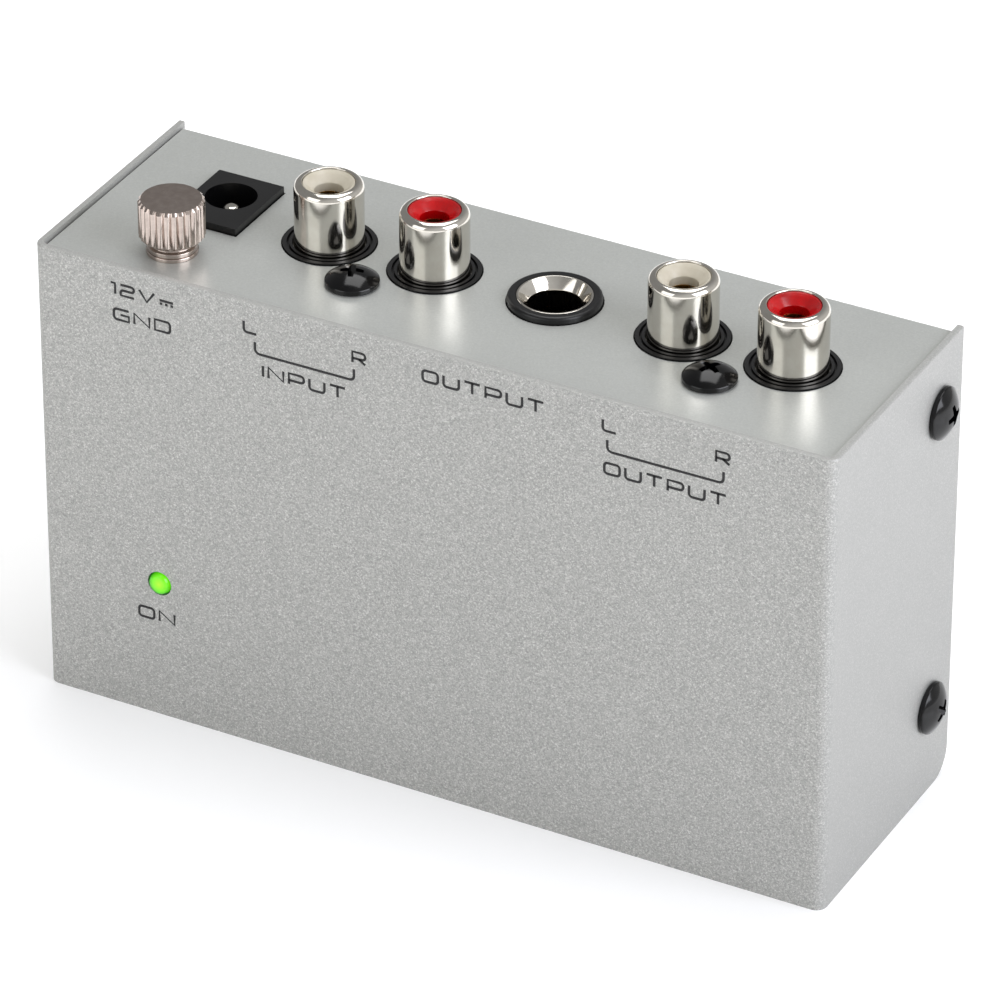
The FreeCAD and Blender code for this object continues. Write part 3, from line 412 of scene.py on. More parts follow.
# The same spray rolled flatter on the jack panel: calmer painted glints, with soft reflections of the sockets
CHASSIS_SPRAY = SprayedMetallic("sprayed_chassis", "D2D4D0", "BABCB8", 0.30, 0.45, 0.3, 0.001, 0.03,
                                flake_mm=0.14, painted_glint=0.3, side_glint_share=0.7)
# Mirror-bright drawn shells with dark and light bands down them
BRIGHT_NICKEL = Finish("bright_nickel_plate", "D2CEC6", "CAC5BC", 0.1, 1.0, 1.4, 0.0004, 0.02)
# A rosier, duller nickel, whose ribs catch one light line each
WARM_NICKEL = Finish("knurled_nickel", "C4B7AF", "B4A69E", 0.16, 1.0, 0.9, 0.0005, 0.03)
# Glossy black screws: a small sharp highlight on a dome that is nearly black
BLACK_ZINC = Finish("black_zinc_screws", "040405", "020203", 0.14, 0.0, 0.6, 0.0012, 0.04, ior=1.42)
# Satin black mouldings, grey only where they face a lamp
BLACK_MOULDING = Finish("moulded_black", "08080A", "050506", 0.36, 0.0, 0.35, 0.003, 0.06, ior=1.45)
# Waxy cream funnels that darken softly inwards
CREAM_MOULDING = Finish("moulded_cream", "C9C2B2", "BBB3A0", 0.22, 0.0, 2.2, 0.001, 0.04, 0.1)
# Saturated red funnels with a soft shine on the rim
RED_MOULDING = Finish("moulded_red", "BE0208", "980106", 0.24, 0.0, 2.2, 0.001, 0.04)
# Golden spring metal, seen as a warm glint deep in each socket
SPRING_BRONZE = Finish("phosphor_bronze", "C9A468", "A98650", 0.28, 1.0, 0.4, 0.002, 0.06)
# Bluish, slightly cloudy plating of hardware inside the box
ZINC_PLATE = Finish("bright_zinc_plate", "C4C7CB", "A9ADB2", 0.3, 1.0, 0.6, 0.002, 0.07)
# Dull near-black feet with a dusty grain and no highlight
FOOT_RUBBER = Finish("foot_rubber", "1A1A1A", "101010", 0.82, 0.0, 0.18, 0.02, 0.06)
# Green solder lacquer under a clear, slightly uneven gloss
BOARD_LACQUER = Finish("board_lacquer", "1D5B33", "123F22", 0.32, 0.0, 0.9, 0.006, 0.1, 0.3)
# Dark blue shrunk plastic with a pale stripe down one side
CAN_SLEEVE = Banded("capacitor_sleeve_dark", "171B2B", "0E111C", 0.3, 0.0, 1.0, 0.004, 0.06, 0.2)
# Brick red dipped boxes with a rounded, even shine
FILM_BOX = Finish("film_capacitor_red", "9C2B1C", "7A1D12", 0.36, 0.0, 0.6, 0.008, 0.07)
# Pale blue lacquer crossed by thin brown rings
RESISTOR_COAT = Banded("resistor_lacquer", "8FB7CC", "7BA2B8", 0.3, 0.0, 0.5, 0.004, 0.05,
                       band="6A3216", axis="X", period_mm=1.15, wobble=0.1, strength=1.0, edge=(0.72, 0.78))
# Flat charcoal packages with a fine sandy face
CHIP_EPOXY = Finish("chip_epoxy", "1B1B1D", "131314", 0.6, 0.0, 0.12, 0.006, 0.05)
# Plain green wire cover with a low shine
WIRE_SLEEVE = Finish("wire_sleeve_green", "1F7A35", "145A26", 0.4, 0.0, 0.5, 0.004, 0.05)
# Milky off-white spacer
NATURAL_NYLON = Finish("natural_nylon", "DAD7CA", "C5C1B1", 0.5, 0.0, 0.8, 0.004, 0.05)
# The lit green dot on the face, yellow-green at its heart
GREEN_LENS = LitLens("green_lens", "2F9E06", "1F7404", 0.12, 0.0, 1.0, 0.001, 0.02)
# Soft black ink, matt against the sparkle of the paint
PRINTING_INK = Finish("screen_print_ink", "101012", "08080A", 0.5, 0.0, 0.25, 0.003, 0.08)

# The CAD nodes that are shown as they are, by finish
NODE_FINISHES: tuple[tuple[Finish, str], ...] = (
    (COVER_SPRAY, "cover"),
    (CHASSIS_SPRAY, "chassis"),
    (ZINC_PLATE, "board_screws board_standoffs ground_nut ground_lug light_leads"),
    (BOARD_LACQUER, "circuit_board"),
    (CAN_SLEEVE, "small_capacitors reservoir_capacitor"),
    (FILM_BOX, "film_capacitors"),
    (RESISTOR_COAT, "resistors"),
    (CHIP_EPOXY, "polarity_diode amplifier_chips voltage_regulator"),
    (BLACK_MOULDING, "input_housing output_housing phone_socket_housing power_socket_housing"),
    (SPRING_BRONZE, "phone_tip_spring phone_ring_spring power_socket_spring"),
    (BRIGHT_NICKEL, "power_socket_pin"),
    (WIRE_SLEEVE, "ground_wire"),
    (NATURAL_NYLON, "light_spacer"),
    (FOOT_RUBBER, "rubber_feet"),
)


# Meshes

# The sheets' edges that turn by more than this many degrees get a round this wide, in millimetres
EASED_FROM = 50.0
EASED_MM = 0.12
# Edges that turn by more degrees than this are sharp, unless a piece says otherwise
SHARP = 32.0
# A radius under this many millimetres is on the axis
ON_AXIS = 1e-6
# A corner's round takes at least this share of its shorter side when its neighbour's round leaves less
LEAST_ROUND = 0.3
# A shank's tip, as shares of its radius, and the rows of points in each turn of its thread
TIP_RADIUS, TIP_LENGTH, ROWS_PER_TURN = 0.6, 0.4, 6


def hold(name: str, data: bpy.types.ID) -> Thing:
    """Puts a mesh, a lamp or a camera in the scene as an object at the origin.

    Args:
        name: The object's name.
        data: What it holds.

    Returns:
        The object.
    """
    made = bpy.data.objects.new(name, data)
    bpy.context.scene.collection.objects.link(made)
    return made


def smooth(mesh: bpy.types.Mesh, degrees: float) -> None:
    """Shades a mesh smooth, with sharp edges where its faces turn by more than an angle.

    Args:
        mesh: The mesh.
        degrees: The angle past which an edge is sharp.
    """
    mesh.shade_smooth()
    mesh.set_sharp_from_angle(angle=math.radians(degrees))


def settle(piece: Thing, body: str, finish: Finish, slot: str, *nodes: str) -> None:
    """Gives a finished piece its material and its body, and hides the CAD nodes that it stands for.

    Args:
        piece: The finished object.
        body: The body that it rides on.
        finish: What its surface is made of.
        slot: The record's material slot; not used.
        nodes: The CAD nodes that it replaces.
    """
    piece.data.materials.clear()
    piece.data.materials.append(finish.material())
    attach(piece, body)
    if nodes:
        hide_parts(*nodes)
    LOG.info("%s: %d faces on %s", piece.name, len(piece.data.polygons), body)


@dataclass(frozen=True)
class Outline:
    """A turned piece's outline: radius, height and corner round of each corner, in millimetres."""

    corners: tuple[Point3, ...]
    arc_steps: int = 5

    def points(self) -> list[Point2]:
        """Walks round the outline with its corners rounded.

        Returns:
            Radius and height of each point.
        """
        out: list[Point2] = []
        count = len(self.corners)
        for number, (radius, height, rounding) in enumerate(self.corners):
            here = Vector((radius, height))
            if rounding <= 0.0:
                out.append((radius, height))
                continue
            before, after = self.corners[number - 1], self.corners[(number + 1) % count]
            back, on = Vector(before[:2]) - here, Vector(after[:2]) - here
            half = back.angle(on) / 2.0
            room = min(back.length - before[2], on.length - after[2])
            room = max(room, LEAST_ROUND * min(back.length, on.length))
            reach = min(rounding / math.tan(half), room)
            start, stop = here + back.normalized() * reach, here + on.normalized() * reach
            middle = here + (start + stop - 2 * here).normalized() * (reach / math.cos(half))
            for step in range(self.arc_steps + 1):
                spoke = (start - middle).lerp(stop - middle, step / self.arc_steps).normalized()
                out.append(tuple(middle + spoke * reach * math.tan(half)))
        return out

    def turned(self, name: str, place: Matrix, segments: int, degrees: float = SHARP) -> Thing:
        """Turns the outline about its axis.

        Args:
            name: The piece's name.
            place: Where the axis stands, in metres.
            segments: Faces round the axis.
            degrees: The angle past which an edge is sharp.

        Returns:
            A closed piece whose faces point outwards.
        """
        mesh = bpy.data.meshes.new(name)
        work = bmesh.new()
        rings: list[list[bmesh.types.BMVert]] = []
        points = self.points()
        for radius, height in points:
            if radius < ON_AXIS:
                rings.append([work.verts.new((0.0, 0.0, height * MM))])
                continue
            turns = (math.tau * step / segments for step in range(segments))
            rings.append([work.verts.new((radius * MM * math.cos(a), radius * MM * math.sin(a), height * MM))
                          for a in turns])
        hollow = all(radius > ON_AXIS for radius, _ in points)
        pairs = list(zip(rings, rings[1:])) + ([(rings[-1], rings[0])] if hollow else [])
        for low, high in pairs:
            for step in range(segments):
                after = (step + 1) % segments
                loop = ((low, step), (low, after), (high, after), (high, step))
                corners = list(dict.fromkeys(ring[at % len(ring)] for ring, at in loop))
                if len(corners) > 2:
                    work.faces.new(corners)
        bmesh.ops.recalc_face_normals(work, faces=work.faces)
        work.transform(place)
        work.to_mesh(mesh)
        work.free()
        smooth(mesh, degrees)
        return hold(name, mesh)


def upright(x: float, y: float) -> Matrix:
    """Finds a place on the jack panel with its axis up.

    Args:
        x: Its place along the box, in millimetres.
        y: Its place across the box.

    Returns:
        The place, in metres.
    """
    return Matrix.Translation(Vector((x, y, PLAN.panel)) * MM)


# Geometry Nodes


class NodeRecipe:
    """A Geometry Nodes tree with named inputs, which is run once on an object and baked to a plain mesh."""

    title: str = "recipe"
    numbers: dict[str, float] = {}
    choices: dict[str, str] = {"Material": "NodeSocketMaterial"}

    def __init__(self) -> None:
        """Starts the tree with its named inputs and lets the recipe fill it."""
        self.tree = bpy.data.node_groups.new(self.title, "GeometryNodeTree")
        self.sockets: dict[str, str] = {}
        face = self.tree.interface
        for way in ("INPUT", "OUTPUT"):
            face.new_socket("Geometry", in_out=way, socket_type="NodeSocketGeometry")
        for name, kind in (*((name, "NodeSocketFloat") for name in self.numbers), *self.choices.items()):
            socket = face.new_socket(name, in_out="INPUT", socket_type=kind)
            self.sockets[name] = socket.identifier
            if name in self.numbers:
                socket.default_value = self.numbers[name]
        self.inputs = add(self.tree, "NodeGroupInput")
        self.finish(self.build())

    def build(self) -> Socket:
        """Adds the recipe's nodes.

        Returns:
            The geometry that they make.
        """
        return self.inputs.outputs["Geometry"]

    def finish(self, made: Socket) -> None:
        """Ends the tree in real geometry with its material.

        Args:
            made: The geometry that the recipe makes.
        """
        real = add(self.tree, "GeometryNodeRealizeInstances", inputs={"Geometry": made})
        coated = add(self.tree, "GeometryNodeSetMaterial",
                     inputs={"Geometry": real.outputs[0], "Material": self.inputs.outputs["Material"]})
        add(self.tree, "NodeGroupOutput", inputs={0: coated.outputs[0]})

    def run(self, base: Thing, name: str, values: dict[str, Any]) -> Thing:
        """Runs the recipe on an object.

        Args:
            base: The object that carries the modifier; it is removed afterwards.
            name: The finished piece's name.
            values: The inputs by name.

        Returns:
            A new object with the finished mesh.
        """
        modifier = base.modifiers.new("recipe", "NODES")
        modifier.node_group = self.tree
        for key, value in values.items():
            modifier[self.sockets[key]] = value
        return baked(base, name)


def baked(base: Thing, name: str) -> Thing:
    """Turns an object with modifiers to a plain mesh object.

    Args:
        base: The object with its modifiers; it is removed.
        name: The plain object's name.

    Returns:
        The plain object.
    """
    bpy.context.view_layer.update()
    graph = bpy.context.evaluated_depsgraph_get()
    mesh = bpy.data.meshes.new_from_object(base.evaluated_get(graph), depsgraph=graph)
    mesh.name = name
    bpy.data.objects.remove(base)
    made = hold(name, mesh)
    made.name = name
    return made


class CarvedRound(NodeRecipe):
    """A recipe that carves a turned piece by angle and height."""

    numbers = {"Radius": 0.004, "Depth": 0.0003, "Margin": 0.0003}

    def share(self, angle: Socket, height: Socket) -> Socket:
        """Gives the share of the depth at a place, which each carving says for itself.

        Args:
            angle: The angle round the axis, in radians.
            height: The height, in metres.

        Returns:
            The share.
        """
        raise NotImplementedError

    def build(self) -> Socket:
        """Moves points near the full radius towards the axis.

        Returns:
            The carved geometry.
        """
        tree, given = self.tree, self.inputs.outputs
        place = add(tree, "GeometryNodeInputPosition").outputs[0]
        x, y, z = add(tree, "ShaderNodeSeparateXYZ", inputs={0: place}).outputs
        flat = add(tree, "ShaderNodeCombineXYZ", inputs={0: x, 1: y, 2: 0.0}).outputs[0]
        out = add(tree, "ShaderNodeVectorMath", {"operation": "NORMALIZE"}, {0: flat}).outputs[0]
        inner = sums(tree, "SUBTRACT", given["Radius"], given["Margin"])
        mask = spread(tree, length(tree, flat), inner, given["Radius"], 0.0, 1.0)
        part = sums(tree, "MULTIPLY", self.share(sums(tree, "ARCTAN2", y, x), z), mask)
        inward = sums(tree, "MULTIPLY", sums(tree, "MULTIPLY", part, given["Depth"]), -1.0)
        shift = add(tree, "ShaderNodeVectorMath", {"operation": "SCALE"}, {0: out, "Scale": inward})
        return add(tree, "GeometryNodeSetPosition",
                   inputs={"Geometry": given["Geometry"], "Offset": shift.outputs[0]}).outputs[0]


class KnurledRibs(CarvedRound):
    """Straight rounded ribs round a knob, with sharp valleys between them."""

    title = "knurled_ribs"
    numbers = {**CarvedRound.numbers, "Ribs": 26.0}

    def share(self, angle: Socket, height: Socket) -> Socket:
        """Gives the ribs by the cosine of the angle, the same all the way up.

        Args:
            angle: The angle round the knob.
            height: The height, which ribs don't follow.

        Returns:
            The share of the depth.
        """
        half = sums(self.tree, "MULTIPLY", self.inputs.outputs["Ribs"], 0.5)
        wave = sums(self.tree, "COSINE", sums(self.tree, "MULTIPLY", angle, half))
        return sums(self.tree, "SUBTRACT", 1.0, sums(self.tree, "ABSOLUTE", wave))


class ScrewThread(CarvedRound):
    """A thread cut in a shank, one turn to each pitch."""

    title = "screw_thread"
    numbers = {**CarvedRound.numbers, "Pitch": 0.0005}

    def share(self, angle: Socket, height: Socket) -> Socket:
        """Gives the groove by a ping-pong of height and angle.

        Args:
            angle: The angle round the shank.
            height: The height along it.

        Returns:
            The share of the depth.
        """
        rise = sums(self.tree, "DIVIDE", height, self.inputs.outputs["Pitch"])
        turns = sums(self.tree, "SUBTRACT", rise, sums(self.tree, "DIVIDE", angle, math.tau))
        return sums(self.tree, "MULTIPLY", sums(self.tree, "PINGPONG", turns, 0.5), 2.0)


class SetInSeats(NodeRecipe):
    """Sets a copy of one piece in every seat, turned as the seat says."""

    title = "set_in_seats"
    choices = {"Piece": "NodeSocketObject", **NodeRecipe.choices}

    def build(self) -> Socket:
        """Places the piece on each vertex of the seats.

        Returns:
            The copies.
        """
        tree, given = self.tree, self.inputs.outputs
        piece = add(tree, "GeometryNodeObjectInfo", inputs={"Object": given["Piece"]}).outputs["Geometry"]
        turn = add(tree, "GeometryNodeInputNamedAttribute", {"data_type": "FLOAT_VECTOR"}, {"Name": "turn"})
        turned = add(tree, "FunctionNodeEulerToRotation", inputs={0: turn.outputs[0]}).outputs[0]
        points = add(tree, "GeometryNodeMeshToPoints", inputs={"Mesh": given["Geometry"]}).outputs[0]
        return add(tree, "GeometryNodeInstanceOnPoints",
                   inputs={"Points": points, "Instance": piece, "Rotation": turned}).outputs[0]


class InkStrokes(NodeRecipe):
    """Pen strokes with rounded corners, printed as thin bands of ink."""

    title = "ink_strokes"
    numbers = {"Width": 0.00028, "Thickness": 0.00002, "Round": 0.0004}

    def build(self) -> Socket:
        """Sweeps a flat section along the rounded strokes.

        Returns:
            The bands of ink.
        """
        tree, given = self.tree, self.inputs.outputs
        curve = add(tree, "GeometryNodeMeshToCurve", inputs={"Mesh": given["Geometry"]}).outputs[0]
        upward = add(tree, "GeometryNodeSetCurveNormal", {"mode": "Z_UP"}, {"Curve": curve}).outputs[0]
        share = add(tree, "GeometryNodeInputNamedAttribute", {"data_type": "FLOAT"}, {"Name": "round"})
        radius = sums(tree, "MULTIPLY", share.outputs[0], given["Round"])
        rounded = add(tree, "GeometryNodeFilletCurve", {"mode": "POLY"},
                      inputs={"Curve": upward, "Radius": radius, "Limit Radius": True, "Count": 6})
        section = add(tree, "GeometryNodeCurvePrimitiveQuadrilateral",
                      inputs={"Width": given["Width"], "Height": given["Thickness"]}).outputs[0]
        sweep = {"Curve": rounded.outputs[0], "Profile Curve": section, "Fill Caps": True}
        return add(tree, "GeometryNodeCurveToMesh", inputs=sweep).outputs[0]


def seats(places: Iterable[tuple[Vector, Quaternion]]) -> Thing:
    """Makes a mesh of loose points, each with the turn of its seat.

    Args:
        places: Each seat's place in metres and its turn.

    Returns:
        The object that carries the points.
    """
    spots = list(places)
    mesh = bpy.data.meshes.new("seats")
    mesh.from_pydata([tuple(spot) for spot, _ in spots], [], [])
    turn = mesh.attributes.new("turn", "FLOAT_VECTOR", "POINT")
    for number, (_, quaternion) in enumerate(spots):
        turn.data[number].vector = Vector(quaternion.to_euler())
    return hold("seats", mesh)


# Sub-assemblies


@dataclass
class PhonoSockets:
    """Four phono sockets: plated shells with rolled lips round coloured insulators."""

    shell_radius: float = 4.15
    shell_wall: float = 0.35
    flange: float = 0.2
    reach: float = 8.2
    seat: float = 8.8
    lip_radius: float = 3.15
    lip_round: float = 0.85
    slack: float = 0.05
    dip: float = 0.15
    mouth: float = 2.9
    cone: float = 1.05
    funnel: float = 1.72
    throat: float = 2.15
    contact_dip: float = 2.3
    flange_dip: float = 0.4
    shelf_dip: float = 0.9
    shelf_rise: float = 0.45
    chamfer: Point2 = (0.35, 0.25)

    def shell(self) -> Outline:
        """Draws the outline of a drawn shell.

        Returns:
            The outline.
        """
        outer, wall = self.shell_radius, self.shell_wall
        flange, under = outer + self.flange, self.reach - wall
        return Outline((
            (outer - wall, -self.seat, 0.05), (flange, -self.seat, 0.1), (flange, -self.flange_dip, 0.08),
            (outer, -self.flange_dip, 0.05), (outer, self.reach, self.lip_round),
            (self.lip_radius, self.reach, 0.15), (self.lip_radius, under, 0.1),
            (outer - wall, under, self.lip_round - wall),
        ), 7)

    def insulator(self) -> Outline:
        """Draws an insulator, with the funnel that guides the plug's pin.

        Returns:
            The outline.
        """
        outer = self.shell_radius - self.shell_wall - self.slack
        lip = self.lip_radius - self.slack
        shelf = self.reach - self.shell_wall - self.shelf_dip
        top = self.reach - self.dip
        throat = self.reach - self.contact_dip
        return Outline((
            (self.throat, -self.seat, 0.0), (outer, -self.seat, 0.15), (outer, shelf, 0.1),
            (lip, shelf + self.shelf_rise, 0.1), (lip, top, 0.08), (self.mouth, top, 0.12),
            (self.mouth - self.chamfer[0], top - self.chamfer[1], 0.2),
            (self.funnel, top - self.cone, 0.2), (self.funnel, throat, 0.05), (self.throat, throat, 0.0),
        ), 6)

    def build(self) -> None:
        """Makes the sockets and dresses them."""
        sides = (("left", PLAN.left_sockets, CREAM_MOULDING, "white_insulator"),
                 ("right", PLAN.right_sockets, RED_MOULDING, "red_insulator"))
        for side, alongs, finish, slot in sides:
            for pair, along in zip(("input", "output"), alongs):
                name = f"{pair}_{side}"
                place = upright(along, PLAN.socket_y)
                shell = self.shell().turned(f"{name}_plated_shell", place, 112)
                settle(shell, "box", BRIGHT_NICKEL, "nickel", f"{name}_shell")
                funnel = self.insulator().turned(f"{name}_funnel", place, 96)
                settle(funnel, "box", finish, slot, f"{name}_insulator")
                dress_node(f"{name}_contact", SPRING_BRONZE)


@dataclass
class PhoneSocket:
    """The quarter-inch socket's plated ferrule."""

    proud: float = 0.9
    reach: float = 7.5
    rim: float = 4.5
    cone: float = 1.3
    tube: float = 3.9
    bore: float = 3.25
    land: float = 0.25

    def build(self) -> None:
        """Turns the ferrule with a bright rounded rim."""
        low = self.proud - self.reach
        shoulder = self.proud - self.cone
        outline = Outline((
            (self.bore, low, 0.08), (self.tube, low, 0.08), (self.tube, shoulder, 0.0),
            (self.rim, shoulder, 0.05), (self.rim, self.proud, 0.1), (self.rim - self.land, self.proud, 0.1),
            (self.bore, shoulder, 0.25),
        ), 6)
        piece = outline.turned("phone_plated_ring", upright(*PLAN.phone), 128)
        settle(piece, "box", BRIGHT_NICKEL, "nickel", "phone_socket_ferrule")


@dataclass
class GroundTerminal:
    """The knurled thumbscrew on its washer."""

    ribs: int = 26
    knob_radius: float = 3.96
    knob_height: float = 5.0
    chamfer: float = 0.35
    rib_depth: float = 0.3
    neck_radius: float = 3.0
    neck_height: float = 1.5
    washer_radius: float = 3.1
    washer_sheet: float = 0.5
    shank_radius: float = 1.95
    shank_length: float = 10.5
    pitch: float = 0.7
    thread_depth: float = 0.2
    waist_dip: float = 0.35
    waist: Point2 = (0.55, 0.75)
    crown: float = 0.4
    clearance: float = 0.05
    sharp: float = 24.0

    def knob(self) -> Thing:
        """Turns the knob at the origin and carves its ribs.

        Returns:
            The knob.
        """
        low = self.washer_sheet
        head = low + self.neck_height
        top = head + self.knob_height
        outer, neck = self.knob_radius, self.neck_radius
        inner, waist = outer - self.chamfer, neck - self.waist_dip
        plain = Outline((
            (0.0, low, 0.0), (neck, low, 0.12), (neck, low + self.waist[0], 0.1),
            (waist, low + self.waist[1], 0.1), (waist, head, 0.1), (inner, head, 0.0),
            (outer, head + self.chamfer, 0.0), (outer, head + self.knob_height / 2, 0.0),
            (outer, top - self.chamfer, 0.0), (inner, top, 0.0), (inner - self.crown, top, 0.0),
            (0.0, top, 0.0),
        ), 4).turned("knob", Matrix.Identity(4), self.ribs * 12, self.sharp)
        return KnurledRibs().run(plain, "knob", {
            "Radius": outer * MM, "Depth": self.rib_depth * MM, "Margin": self.chamfer * MM,
            "Ribs": float(self.ribs), "Material": WARM_NICKEL.material()})

    def build(self) -> None:
        """Makes the thumbscrew and the washer and dresses them."""
        low = self.washer_sheet - self.shank_length
        shank = threaded_shank("shank", self.shank_radius, low, self.washer_sheet + 0.2, self.pitch,
                               self.thread_depth, WARM_NICKEL)
        whole = joined("ground_knurled_knob", [self.knob(), shank])
        whole.data.transform(upright(*PLAN.ground))
        smooth(whole.data, self.sharp)
        settle(whole, "terminal_knob", WARM_NICKEL, "nickel", "ground_thumbscrew", "ground_stud")
        bore = self.shank_radius + self.clearance
        washer = Outline((
            (bore, 0.0, 0.04), (self.washer_radius, 0.0, 0.05), (self.washer_radius, self.washer_sheet, 0.15),
            (bore, self.washer_sheet, 0.04),
        ), 5).turned("ground_plated_washer", upright(*PLAN.ground), 80)
        settle(washer, "terminal_washer", WARM_NICKEL, "nickel", "ground_washer")


def joined(name: str, pieces: Sequence[Thing]) -> Thing:
    """Joins plain mesh objects to one and removes them.

    Args:
        name: The joined piece's name.
        pieces: The objects, all at the origin.

    Returns:
        The joined object.
    """
    work = bmesh.new()
    for piece in pieces:
        work.from_mesh(piece.data)
        bpy.data.objects.remove(piece)
    mesh = bpy.data.meshes.new(name)
    work.to_mesh(mesh)
    work.free()
    return hold(name, mesh)


def threaded_shank(name: str, radius: float, low: float, high: float, pitch: float, depth: float,
                   finish: Finish) -> Thing:
    """Makes a shank at the origin with a thread carved in it.

    Args:
        name: The piece's name.
        radius: The thread's outer radius.
        low: The height of its tip.
        high: The height of its top.
        pitch: The thread's pitch.
        depth: The thread's depth.
        finish: What the shank is plated with.

    Returns:
        The shank.
    """
    start = low + radius * TIP_LENGTH
    rows = max(4, round((high - start) / pitch * ROWS_PER_TURN))
    corners: list[Point3] = [(0.0, low, 0.0), (radius * TIP_RADIUS, low, 0.0)]
    corners += [(radius, start + (high - start) * row / rows, 0.0) for row in range(rows + 1)]
    corners.append((0.0, high, 0.0))
    plain = Outline(tuple(corners)).turned(name, Matrix.Identity(4), 36, 60.0)
    return ScrewThread().run(plain, name, {
        "Radius": radius * MM, "Depth": depth * MM, "Margin": 0.1 * MM, "Pitch": pitch * MM,
        "Material": finish.material()})


# How far the cross of each screw in a row stands turned, in radians, as screws stop anywhere
SPINS = (0.35, 1.1, 0.8, 0.15)


class ScrewRow(Enum):
    """The two rows of black screws: each row's node and the length of its screws' shanks."""

    SIDES = ("side_screws", 5.0)
    PANEL = ("panel_screws", 7.0)

    def places(self) -> list[tuple[Vector, Quaternion]]:
        """Finds where the row's screws stand, with the turn of each cross.

        Returns:
            Each screw's place in metres and its turn.
        """
        out: list[tuple[Vector, Quaternion]] = []
        if self is ScrewRow.PANEL:
            for spin, (x, y) in zip(SPINS, PLAN.panel_screws):
                out.append((Vector((x, y, PLAN.panel)) * MM, Quaternion((0, 0, 1), spin)))
            return out
        for side in (-1.0, 1.0):
            for z in PLAN.side_screw_heights:
                lean = Quaternion((0, 1, 0), side * math.pi / 2) @ Quaternion((0, 0, 1), SPINS[len(out)])
                out.append((Vector((side * PLAN.half_width, PLAN.side_screw_y, z)) * MM, lean))
        return out


@dataclass
class CrossHeadScrews:
    """Black pan-head screws with a cross recess, set in the walls and in the jack panel."""

    head_radius: float = 3.25
    head_height: float = 1.9
    rim: float = 0.65
    shank_radius: float = 1.45
    wing_reach: float = 1.55
    wing_half: float = 0.3
    recess: float = 1.3
    pitch: float = 0.5
    thread_depth: float = 0.16
    brim: float = 0.2
    dome_steps: int = 12
    mouth: Point2 = (1.12, 1.1)
    foot: Point2 = (0.75, 0.26)
    web: float = 1.35
    overrun: float = 0.4

    def head(self) -> Thing:
        """Makes a domed head with its recess, seated at the origin.

        Returns:
            The head.
        """
        rise, reach = self.head_height - self.rim, self.head_radius
        ball = (reach**2 + rise**2) / (2 * rise)
        half = math.asin(reach / ball)
        turns = [half * (1 - step / self.dome_steps) for step in range(1, self.dome_steps + 1)]
        arc = [(ball * math.sin(a), self.head_height - ball * (1 - math.cos(a)), 0.0) for a in turns]
        dome = Outline((
            (0.0, 0.0, 0.0), (reach - self.brim, 0.0, 0.0), (reach, self.brim, 0.0),
            (reach, self.rim, 0.3), *arc,
        ), 6).turned("head", Matrix.Identity(4), 72, 40.0)
        tool = self.cross_tool()
        cut = dome.modifiers.new("recess", "BOOLEAN")
        cut.operation, cut.solver, cut.object = "DIFFERENCE", "EXACT", tool
        done = baked(dome, "head")
        bpy.data.objects.remove(tool)
        return done

    def cross_tool(self) -> Thing:
        """Makes the tapered cross that cuts the recess.

        Returns:
            The cutting tool.
        """
        def ring(reach: float, half: float, height: float) -> list[Point3]:
            """Draws one level of the cross.

            Args:
                reach: How far its arms reach.
                half: Half the width of an arm.
                height: Its height.

            Returns:
                The level's corners, in metres.
            """
            arm = [(reach, -half), (reach, half), (half * self.web, half * self.web)]
            flat = [Matrix.Rotation(math.pi / 2 * q, 2) @ Vector(p) for q in range(4) for p in arm]
            return [(p.x * MM, p.y * MM, height * MM) for p in flat]

        wide, thick = self.wing_reach * self.mouth[0], self.wing_half * self.mouth[1]
        top, low = self.head_height + self.overrun, self.head_height - self.recess
        levels = ring(wide, thick, top) + ring(*self.foot, low)
        count = len(levels) // 2
        mesh = bpy.data.meshes.new("cross")
        sides = [(i, (i + 1) % count, (i + 1) % count + count, i + count) for i in range(count)]
        caps = [tuple(range(count - 1, -1, -1)), tuple(range(count, 2 * count))]
        mesh.from_pydata(levels, [], caps + sides)
        work = bmesh.new()
        work.from_mesh(mesh)
        bmesh.ops.recalc_face_normals(work, faces=work.faces)
        work.to_mesh(mesh)
        work.free()
        return hold("cross", mesh)

    def build(self) -> None:
        """Makes each row of screws from one screw."""
        recipe = SetInSeats()
        for row in ScrewRow:
            node, reach = row.value
            shank = threaded_shank("shank", self.shank_radius, -reach, 0.3, self.pitch, self.thread_depth,
                                   BLACK_ZINC)
            screw = joined("screw", [self.head(), shank])
            placed = recipe.run(seats(row.places()), f"black_{node}",
                                {"Piece": screw, "Material": BLACK_ZINC.material()})
            bpy.data.objects.remove(screw)
            smooth(placed.data, 38.0)
            settle(placed, "box", BLACK_ZINC, "black_zinc", node)


@dataclass
class PowerLight:
    """The green light, a flanged lens whose dome stands in the cover's hole."""

    radius: float = 1.5
    length: float = 5.3
    proud: float = 0.6
    flange: float = 1.9
    flange_height: float = 1.0
    brow: float = 0.9
    brow_share: float = 0.8
    crown: float = 0.18
    crown_share: float = 0.3

    def build(self) -> None:
        """Turns the lens and stands it along the cover's normal."""
        outline = Outline((
            (0.0, 0.0, 0.0), (self.flange, 0.0, 0.08), (self.flange, self.flange_height, 0.08),
            (self.radius, self.flange_height, 0.05), (self.radius, self.length - self.brow, 0.3),
            (self.radius * self.brow_share, self.length - self.crown, 0.4),
            (self.radius * self.crown_share, self.length, 0.3), (0.0, self.length, 0.0),
        ), 6)
        back = PLAN.front - self.proud + self.length
        place = Matrix.Translation(Vector((PLAN.light[0], back, PLAN.light[1])) * MM)
        piece = outline.turned("green_lens_dome", place @ Matrix.Rotation(math.pi / 2, 4, "X"), 64, 50.0)
        settle(piece, "box", GREEN_LENS, "light_lens", "power_light")


